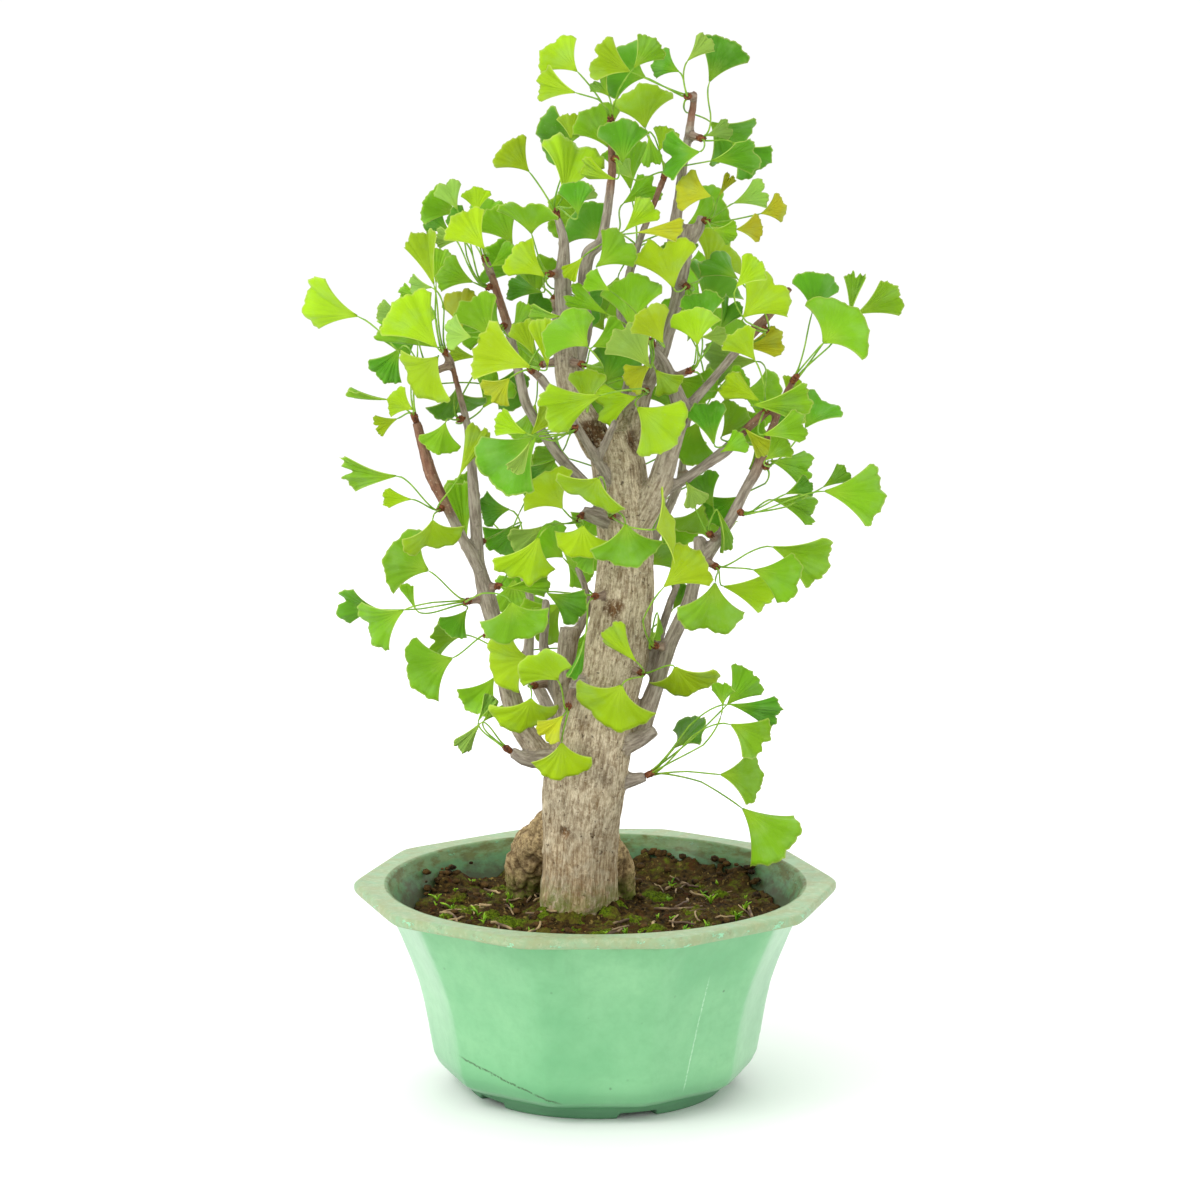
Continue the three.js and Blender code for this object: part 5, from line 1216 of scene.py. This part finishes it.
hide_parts("trunk_and_branches")

# ---- The leaves -----------------------------------------------------------------------------------
# Fan-shaped ginkgo leaves, thin and leathery, in sprays: each spray stands in one brown scaly bud and
# spreads a few leaves on long flexible stalks. Blades are waved, cupped and often cleft.


def generator(seed):
    """Evenly spread numbers from 0 to 1: a 32-bit counter, its bits mixed by multiplication."""
    state = seed
    while True:
        state = (state + 0x6D2B79F5) & 0xFFFFFFFF
        mixed = (state ^ (state >> 15)) * (1 | state) & 0xFFFFFFFF
        mixed = ((mixed + ((mixed ^ (mixed >> 7)) * (61 | mixed) & 0xFFFFFFFF)) & 0xFFFFFFFF) ^ mixed
        yield (mixed ^ (mixed >> 14)) / 4294967296


SEED = 47
draws = generator(SEED)


def draw():
    return next(draws)


def fill_rows(at, count, away):
    """Rows of leaves that fill in: spaced round their bud, jittered, facing the viewer or away."""
    x, z, depth = at
    rows, start = [], 360 * draw()
    for i in range(count):
        around = start + 360 * ((i + 0.6 * draw()) / count)
        reach = 20 + 14 * draw()
        row = [x + reach * np.cos(np.radians(around)), z + 6 + reach * np.sin(np.radians(around))]
        row += [depth + (2 if away else 10) + 20 * draw(), around + 40 * (draw() - 0.5)]
        row += [21 + 8 * draw(), 60 + 40 * draw(), (-40 if away else 30) * draw()]
        # Fill leaves that face the viewer take the darker green of painted shade.
        row += [(180 if away else 0) + 40 * (draw() - 0.5), GREEN if away else SHADED_GREEN]
        rows.append(row)
    return rows


def turned_about(vector, axis, angle):
    """A vector turned about a unit axis."""
    c, s = np.cos(angle), np.sin(angle)
    return vector * c + np.cross(axis, vector) * s + axis * np.dot(axis, vector) * (1 - c)


LONGER, WIDER, WIDEST = 1.06, 1.18, 138  # every blade against its row, and the widest fan in degrees


def shape_leaf(row):
    """A leaf's frame and its drawn wave, cup, bow and cleft."""
    x, z, depth, aim, length, spread, lean, turn, tone = row
    aim = np.radians(aim)
    mid, side = np.array([np.cos(aim), 0, np.sin(aim)]), np.array([np.sin(aim), 0, -np.cos(aim)])
    face = np.array([0.0, -1, 0])
    nod = np.radians(lean + 36 * (draw() - 0.5))
    twist = np.radians(turn + 64 * (draw() - 0.5))
    mid, face = turned_about(mid, side, -nod), turned_about(face, side, -nod)
    side, face = turned_about(side, mid, -twist), turned_about(face, mid, -twist)
    leaf = {"at": (x, z, depth), "length": LONGER * length, "tone": tone}
    leaf["spread"] = np.radians(min(WIDER * spread, WIDEST))
    leaf.update(mid=mid, side=side, face=face)
    leaf["bow"] = -0.04 + 0.24 * draw()
    leaf["cup"] = -0.1 + 0.3 * draw()
    leaf["ripple"] = 0.03 + 0.05 * draw()
    leaf["waves"] = 2 * np.pi * draw()
    leaf["cleft"] = max(0, 0.5 * draw() - 0.28)
    return leaf


def blade(leaf, across, along, fine=0.0):
    """Points of a blade on a polar grid: across is -1 to 1 from side to side and along 0 to 1 from the
    root to the margin. The reach is the length times a margin of slow waves and a cleft; the rise is a
    bow, a cup and a ripple. fine adds small teeth, crinkles and a curled edge."""
    waves = leaf["waves"]
    angle = across * (leaf["spread"] / 2) * (0.55 + 0.45 * along)
    margin = 1 - 0.12 * across**4 - leaf["cleft"] * np.exp(-((across / 0.14) ** 2))
    margin += 0.03 * np.sin(7 * across + waves) + 0.015 * np.sin(15 * across + 2 * waves)
    teeth = 0.011 * np.sin(27 * across + 3 * waves) + 0.006 * np.sin(46 * across + waves)
    margin = margin + fine * teeth * along**6
    reach = along * leaf["length"] * margin
    rise = -leaf["bow"] * along**2 + leaf["cup"] * across**2 * along
    rise = rise + leaf["ripple"] * along**2 * np.sin(5 * across + waves)
    crinkle = 0.018 * along**3 * np.sin(13 * across + 2 * waves)
    crinkle = crinkle + 0.008 * along * np.cos(24 * across) - 0.03 * along**8 * np.sin(2 * waves)
    rise = leaf["length"] * (rise + fine * crinkle)
    over, out = reach * np.sin(angle), reach * np.cos(angle)
    flat = leaf["root"] + leaf["side"] * over[..., None] + leaf["mid"] * out[..., None]
    return flat + leaf["face"] * rise[..., None]


LONG_STALK, STALK_RADIUS = 32, 0.7  # a shorter stalk is laid straight


def stalk_path(leaf, bud):
    """The stalk's start in its bud, its bend if it is long, and the blade's root; and the even curve
    that leaves along the bud and arrives along the midline."""
    start = bud["tip"] + bud["out"] * 2.95 + leaf["seat"]
    span = np.linalg.norm(leaf["root"] - start)
    leaving = unit((leaf["root"] - start) / span + bud["out"])
    pull = 0.36 * span
    ends = [start, start + leaving * pull, leaf["root"] - leaf["mid"] * pull, leaf["root"]]
    path = [start, leaf["root"]]
    if span >= LONG_STALK:
        path.insert(1, (ends[0] + 3 * ends[1] + 3 * ends[2] + ends[3]) / 8)
    return np.array(path), np.array(ends)


def square_to(out):
    """Two directions square to the one that a bud points in."""
    right = unit(np.cross([0.0, 1, 0], out))
    return right, np.cross(out, right)


def seat_stalks(leaves, bud):
    """The stalks stand in a ring in their bud, in the order in which their leaves lie round it."""
    right, up = square_to(bud["out"])
    away = [place(*leaf["at"]) - bud["tip"] for leaf in leaves]
    headings = [np.arctan2(v @ up, v @ right) for v in away]
    order = sorted(range(len(leaves)), key=lambda i: headings[i])
    ring = STALK_RADIUS / np.sin(np.pi / max(3, len(leaves)))
    bud["radius"] = ring + 1.0
    for i, k in enumerate(order):
        angle = headings[order[0]] + 2 * np.pi * i / len(leaves)
        leaves[k]["seat"] = right * ring * np.cos(angle) + up * ring * np.sin(angle)


SAMPLE_FAN = np.meshgrid([-1, -0.67, -0.33, 0, 0.33, 0.67, 1], [0.3, 0.55, 0.8, 1])


def divided(a, b, step, ends):
    """Points a step apart from a to b: with ends 1 both ends are left out, and with 0 only a is."""
    parts = int(np.ceil(np.linalg.norm((b - a)[:3]) / step))
    return a + (b - a) * ((np.arange(parts)[:, None] + 1) / (parts + ends))


def outline(leaf, bud):
    """Points that stand for a leaf while it is kept clear of others: on its blade and its stalk."""
    path, _ = stalk_path(leaf, bud)
    stalk = [divided(a, b, 3, 1) for a, b in zip(path[:-1], path[1:])]
    return blade(leaf, *SAMPLE_FAN).reshape(-1, 3), np.concatenate(stalk)


def slack(points, others, need, radii=0.0):
    """How much nearer than they should be two sets of points come, as a negative number."""
    if not len(points) or not len(others):
        return np.inf
    away = np.sqrt(((points[:, None] - others[None]) ** 2).sum(-1))
    return float((away - radii).min()) - need


NONE = np.zeros((0, 3))
SLIDES = (0, -7, 7, -14, 14, -21, 21, -28, 28, -36, 36, -44, 44, -52)
BLADES_APART, BLADE_TO_STALK, STALKS_APART = 6.5, 4.2, 2.8
BUD_REACH, NEAR = 2.2, 100
SKIP = 3  # points at the foot of a stalk, where it is near its sisters in any case
SPRAY, SPOT, FRONT, STEM = range(4)  # what is kept of a bud or leaf: number, place, blade and stalk


def clear(points, rows, part, need, skip=0):
    """The slack between points and the buds, blades or stalks of what is in place."""
    if part == SPOT:
        dots = [row[SPOT] for row in rows if row[FRONT] is NONE]
        return slack(points, np.array(dots).reshape(-1, 3), need, BUD_REACH)
    return slack(points, np.concatenate([NONE] + [row[part][skip:] for row in rows]), need)


def settle(sprays):
    """Each leaf slides along its line of sight to the first depth at which it clears what is in place,
    or the best one. The leaves that fill in come last, and one that finds no room is left out."""
    wood = [divided(a, b, 5, 0) for nodes in spines.values() for a, b in zip(nodes[:-1], nodes[1:])]
    wood.append(np.array([[*bud["tip"], 2.3] for bud, _ in sprays]))
    wood = np.concatenate(wood)
    bark, thick = wood[:, :3], wood[:, 3]
    settled = [(i, bud["tip"] + bud["out"] * 1.5, NONE, NONE) for i, (bud, _) in enumerate(sprays)]
    queue = [(number, bud, leaf) for number, (bud, leaves) in enumerate(sprays) for leaf in leaves]
    for number, bud, leaf in sorted(queue, key=lambda row: row[2]["filling"]):
        x, z, depth = leaf["at"]
        best = (-np.inf,)
        for slide in SLIDES:
            leaf["root"] = place(x, z, depth + slide)
            front, stem = outline(leaf, bud)
            near = [row for row in settled if np.linalg.norm(leaf["root"] - row[SPOT]) <= NEAR]
            own = [row for row in near if row[SPRAY] == number]
            foreign = [row for row in near if row[SPRAY] != number]
            room = min(
                slack(front, bark, 3, thick),
                slack(stem[2:], bark, 1.6, thick),
                clear(front, near, FRONT, BLADES_APART),
                clear(front, near, SPOT, BLADES_APART),
                clear(front, foreign, STEM, BLADE_TO_STALK),
                clear(front, own, STEM, BLADE_TO_STALK, SKIP),
                clear(stem, foreign, FRONT, BLADE_TO_STALK),
                clear(stem, foreign, SPOT, BLADE_TO_STALK),
                clear(stem[SKIP:], own, FRONT, BLADE_TO_STALK),
                clear(stem[SKIP:], own, SPOT, BLADE_TO_STALK),
                clear(stem, foreign, STEM, STALKS_APART),
                clear(stem[SKIP:], own, STEM, STALKS_APART, SKIP),
            )
            if room > best[0]:
                best = (room, leaf["root"], front, stem)
            if room >= 0:
                break
        leaf["root"] = best[1]
        leaf["dropped"] = leaf["filling"] and best[0] < 0
        if not leaf["dropped"]:
            settled.append((number, *best[1:]))


def grown(at, rows, filling, away):
    """A spray: its bud, and the leaves of its rows with those that fill in."""
    added = fill_rows(at, filling, away)
    leaves = [shape_leaf(row) for row in [*rows, *added]]
    for i, leaf in enumerate(leaves):
        leaf["filling"] = i >= len(rows)
    bud = seat_bud(at)
    seat_stalks(leaves, bud)
    return bud, leaves


CROWN_FOOT, FULL_BUD, MOST_FILLING = 360, 5, 2


def missing(at, rows):
    """How many leaves fill in a spray: up to two where it has fewer than five, but none low down."""
    return 0 if at[1] < CROWN_FOOT else int(np.clip(FULL_BUD - len(rows), 0, MOST_FILLING))


sprays = [grown(at, rows, missing(at, rows), False) for at, rows in SPRAYS]
sprays += [grown(at, [], count, True) for at, count in BACK_SPRAYS]
settle(sprays)
sprays = [(bud, [leaf for leaf in leaves if not leaf["dropped"]]) for bud, leaves in sprays]

BLADE_ACROSS, BLADE_ALONG = 33, 11
STALK_STEPS, STALK_SIDES = 15, 6
along_blade = np.linspace(0.03, 1, BLADE_ALONG) ** 0.9
fan_across, fan_along = np.meshgrid(np.linspace(-1, 1, BLADE_ACROSS), along_blade)


def blade_mesh(leaf, seed):
    """Both sheets of a blade, 0.5 mm apart and nearer at the margin, joined by a rim."""
    middle = blade(leaf, fan_across, fan_along, 1.0)
    normal = unit(np.cross(np.gradient(middle, axis=1), np.gradient(middle, axis=0)))
    lift = normal * (0.27 - 0.1 * fan_along**4)[..., None]
    points = np.concatenate([middle + lift, middle - lift]).reshape(-1, 3)
    count = BLADE_ACROSS * BLADE_ALONG
    top = grid_faces(BLADE_ALONG, BLADE_ACROSS)
    edge = np.arange(count).reshape(BLADE_ALONG, BLADE_ACROSS)
    edge = np.concatenate([edge[0], edge[1:, -1], edge[-1, -2::-1], edge[-2:0:-1, 0]])
    ahead = np.roll(edge, -1)
    rim = np.stack([edge, ahead, ahead + count, edge + count], 1)
    fan = np.stack([fan_across, fan_along, 0 * fan_across + seed], -1).reshape(-1, 3)
    return points, [top[:, ::-1], top + count, rim], np.concatenate([fan, fan])


def stalk_mesh(leaf, bud):
    """A stalk as a rod along the mean of its straight-laid path and its even curve, a little thicker at
    both ends."""
    path, ends = stalk_path(leaf, bud)
    t = np.linspace(0, 1, STALK_STEPS)
    laid = np.stack([np.interp(t, np.linspace(0, 1, len(path)), path[:, k]) for k in range(3)], 1)
    weights = [(1 - t) ** 3, 3 * (1 - t) ** 2 * t, 3 * (1 - t) * t**2, t**3]
    curve = sum(weight[:, None] * end for weight, end in zip(weights, ends))
    line = (laid + curve) / 2
    line[-1] = leaf["root"] + leaf["mid"] * 0.06 * leaf["length"]
    line[0] = line[0] - bud["out"] * 1.2
    thick = 0.5 + 0.16 * (1 - t) ** 4 + 0.05 * t**8
    thick[-1] = 0.3
    return rods(line[None], thick[None], STALK_SIDES)


def bud_mesh(bud):
    """A bud turned about its direction: a woody foot, three rows of scales, and a dome."""
    wide = min(bud["radius"], 2.7)
    # fmt: off
    reach, height = np.array([
        (1.9, -3.0), (2.0, -0.8), (2.3, 0.0), (1.8, 0.5), (2.3, 1.0), (1.9, 1.4),
        (wide * 0.9, 2.0), (wide * 0.75, 2.4), (wide * 0.85, 2.8), (wide * 0.6, 3.3), (0.25, 3.6),
    ]).T[..., None]
    # fmt: on
    rows, sides = len(reach), 10
    turn = turns(sides)
    right, up = square_to(bud["out"])
    reach = reach * (1 + 0.1 * np.sin(3 * turn + 40 * height))
    ring = right * np.cos(turn)[..., None] + up * np.sin(turn)[..., None]
    points = bud["tip"] + ring * reach[..., None] + bud["out"] * height[..., None]
    caps = np.stack([np.arange(sides)[::-1], (rows - 1) * sides + np.arange(sides)])
    return points.reshape(-1, 3), [grid_faces(rows, sides, False, True), caps]


foliage = Finish("ginkgo_leaf", Roughness=0.45, Specular_IOR_Level=0.25)
tone = attribute(foliage, "tone", "Color")
kind = attribute(foliage, "kind")
across, along, seed = attribute(foliage, "fan", "Vector").split()
flank = across.maths("ABSOLUTE").over(0.95, 1.0) * along.over(0.1, 0.4)
margin = flank.maths("MAXIMUM", along.over(0.965, 0.99))
wave = foliage.noise(6, 2)
bundle = across + (wave - 0.5) * 0.02


def vein_set(count, shift, width):
    """1 on the middle lines of so many veins that fan out side by side."""
    return (bundle * count + shift).maths("PINGPONG", 0.5).over(width, 0.0)


veins = vein_set(13, 20, 0.1).maths("MAXIMUM", vein_set(26, 20.25, 0.14) * along.over(0.22, 0.4))
veins = veins.maths("MAXIMUM", vein_set(52, 20.25, 0.2) * along.over(0.5, 0.7))
blotch = foliage.noise(9, 4, 0.6)
# Broad patches where the leaf's green turns lighter stand for painted soft light and shade across the
# blades.
painted_light_patches = foliage.noise(22, 3).over(0.35, 0.65) * 0.45
# A pale painted sheen over the blades, fading out towards their roots.
painted_sheen = foliage.noise(14, 3).over(0.5, 0.7) * along.over(0.1, 0.5)
dots = foliage.noise(0.9, 2, 0.5).over(0.71, 0.76)
stalk_colour = foliage.blend(wave.over(0.4, 0.6), 0x6F9F26, 0x8CB238)
scales = foliage.noise(1.5, 3, 0.6)
bud_colour = foliage.blend(scales.over(0.38, 0.62), 0x4A2A18, 0x8E5432)
woody = kind.over(0.6, 0.8)
colour = foliage.layers(
    foliage.blend(painted_light_patches, foliage.shaded(tone, 0.95), foliage.shaded(tone, 1.3)),
    # painted sheen
    (painted_sheen * 0.22, 0x9CCB7C),
    (blotch.over(0.56, 0.76) * 0.2, 0xA9C46A),
    (along.over(0.55, 0.05) * 0.42, 0xAECB34),
    (veins * 0.28, foliage.shaded(tone, 1.45)),
    (dots * 0.3, 0xB9DB92),
    (margin * 0.45, 0xC6D66A),
    (kind.over(0.2, 0.4), stalk_colour),
    (woody, bud_colour),
)
foliage.wear(Base_Color=colour, Roughness=0.45 + 0.15 * blotch + 0.25 * woody)
pleats = (bundle * 3.5 + seed).maths("PINGPONG", 0.5) * along
foliage.bump(0.7 * veins + 0.3 * blotch + 9 * pleats, 0.13)

# Every point keeps what it belongs to as its kind, and its leaf's green as its tone, darker on leaves
# with painted shade.
BUD, STALK, BLADE = 1.0, 0.5, 0.0
BUD_TONE = (0.3, 0.2, 0.1)
leaf_rng = np.random.default_rng(17)
for number, (bud, leaves) in enumerate(sprays):
    parts = [(*bud_mesh(bud), None, BUD, BUD_TONE)]
    for leaf in leaves:
        lit = tint(leaf["tone"]) * leaf_rng.uniform(0.82, 1.18) * leaf_rng.uniform(0.93, 1.07, 3)
        parts.append((*blade_mesh(leaf, leaf_rng.uniform()), BLADE, lit))
        parts.append((*stalk_mesh(leaf, bud), None, STALK, lit))
    points, groups, fans, kinds, tones = zip(*parts)
    sizes = [len(some) for some in points]
    starts = np.cumsum([0] + sizes)
    faces = [face + n for group, n in zip(groups, starts) for face in group]
    piece = shape("leaf_spray_%02d" % (number + 1), np.concatenate(points), faces)
    fans = [np.zeros((n, 3)) if fan is None else fan for fan, n in zip(fans, sizes)]
    mark(piece.data, "fan", np.concatenate(fans))
    mark(piece.data, "kind", np.repeat(kinds, sizes))
    mark(piece.data, "tone", np.repeat([[*lit, 1.0] for lit in tones], sizes, 0), "FLOAT_COLOR")
    piece.data.materials.append(foliage.material)
    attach(piece, "root")
    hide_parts("spray_%02d" % (number + 1))

# ---- The floor, lights and camera -----------------------------------------------------------------
# The pot stands on a plain pale studio floor, under large soft lights from the left, the right and
# above, and is seen from a little above the top of the crown with a long lens.

FAR = 60000.0
corners = [(-FAR, -FAR, 0), (FAR, -FAR, 0), (FAR, FAR, 0), (-FAR, FAR, 0)]
floor = shape("studio_floor", corners, [np.array([[0, 1, 2, 3]])])
paper = Finish("pale_floor", Roughness=0.9)
paper.wear(Base_Color=paper.blend(paper.noise(400, 2).over(0.3, 0.7), 0xF8F8F7, 0xFAFAF9))
floor.data.materials.append(paper.material)

world = bpy.data.worlds.new("studio")
world.use_nodes = True
background = world.node_tree.nodes["Background"].inputs
background["Color"].default_value = (1, 1, 1, 1)
background["Strength"].default_value = 1.08
bpy.context.scene.world = world


def lamp(name, place_mm, aim_mm, size, watts):
    """A square soft light at a place, turned towards a point."""
    light = bpy.data.lights.new(name, "AREA")
    light.size, light.energy = size, watts
    made = bpy.data.objects.new(name, light)
    made.location = Vector(place_mm) * MM
    away = Vector(aim_mm) - Vector(place_mm)
    made.rotation_euler = away.to_track_quat("-Z", "Y").to_euler()
    bpy.context.scene.collection.objects.link(made)


lamp("key", (-1500, -1100, 1700), (0, 0, 300), 1.2, 26)
lamp("fill", (1600, -1400, 900), (0, 0, 300), 1.6, 4)
lamp("back", (300, 1600, 1500), (0, 0, 350), 1.6, 12)

CAMERA_AT = (2.8, -2334.6, 700)  # millimetres, about the pot's axis
LOOKS_DOWN = 9.825  # degrees
lens = bpy.data.cameras.new("camera")
lens.lens, lens.sensor_width, lens.clip_end = 120, 36, 200
camera = bpy.data.objects.new("camera", lens)
camera.location = Vector(np.array(CAMERA_AT) + centre_mm) * MM
camera.rotation_euler = (np.radians(90 - LOOKS_DOWN), 0, 0)
bpy.context.scene.collection.objects.link(camera)
bpy.context.scene.camera = camera
bpy.context.scene.view_settings.view_transform = "Standard"
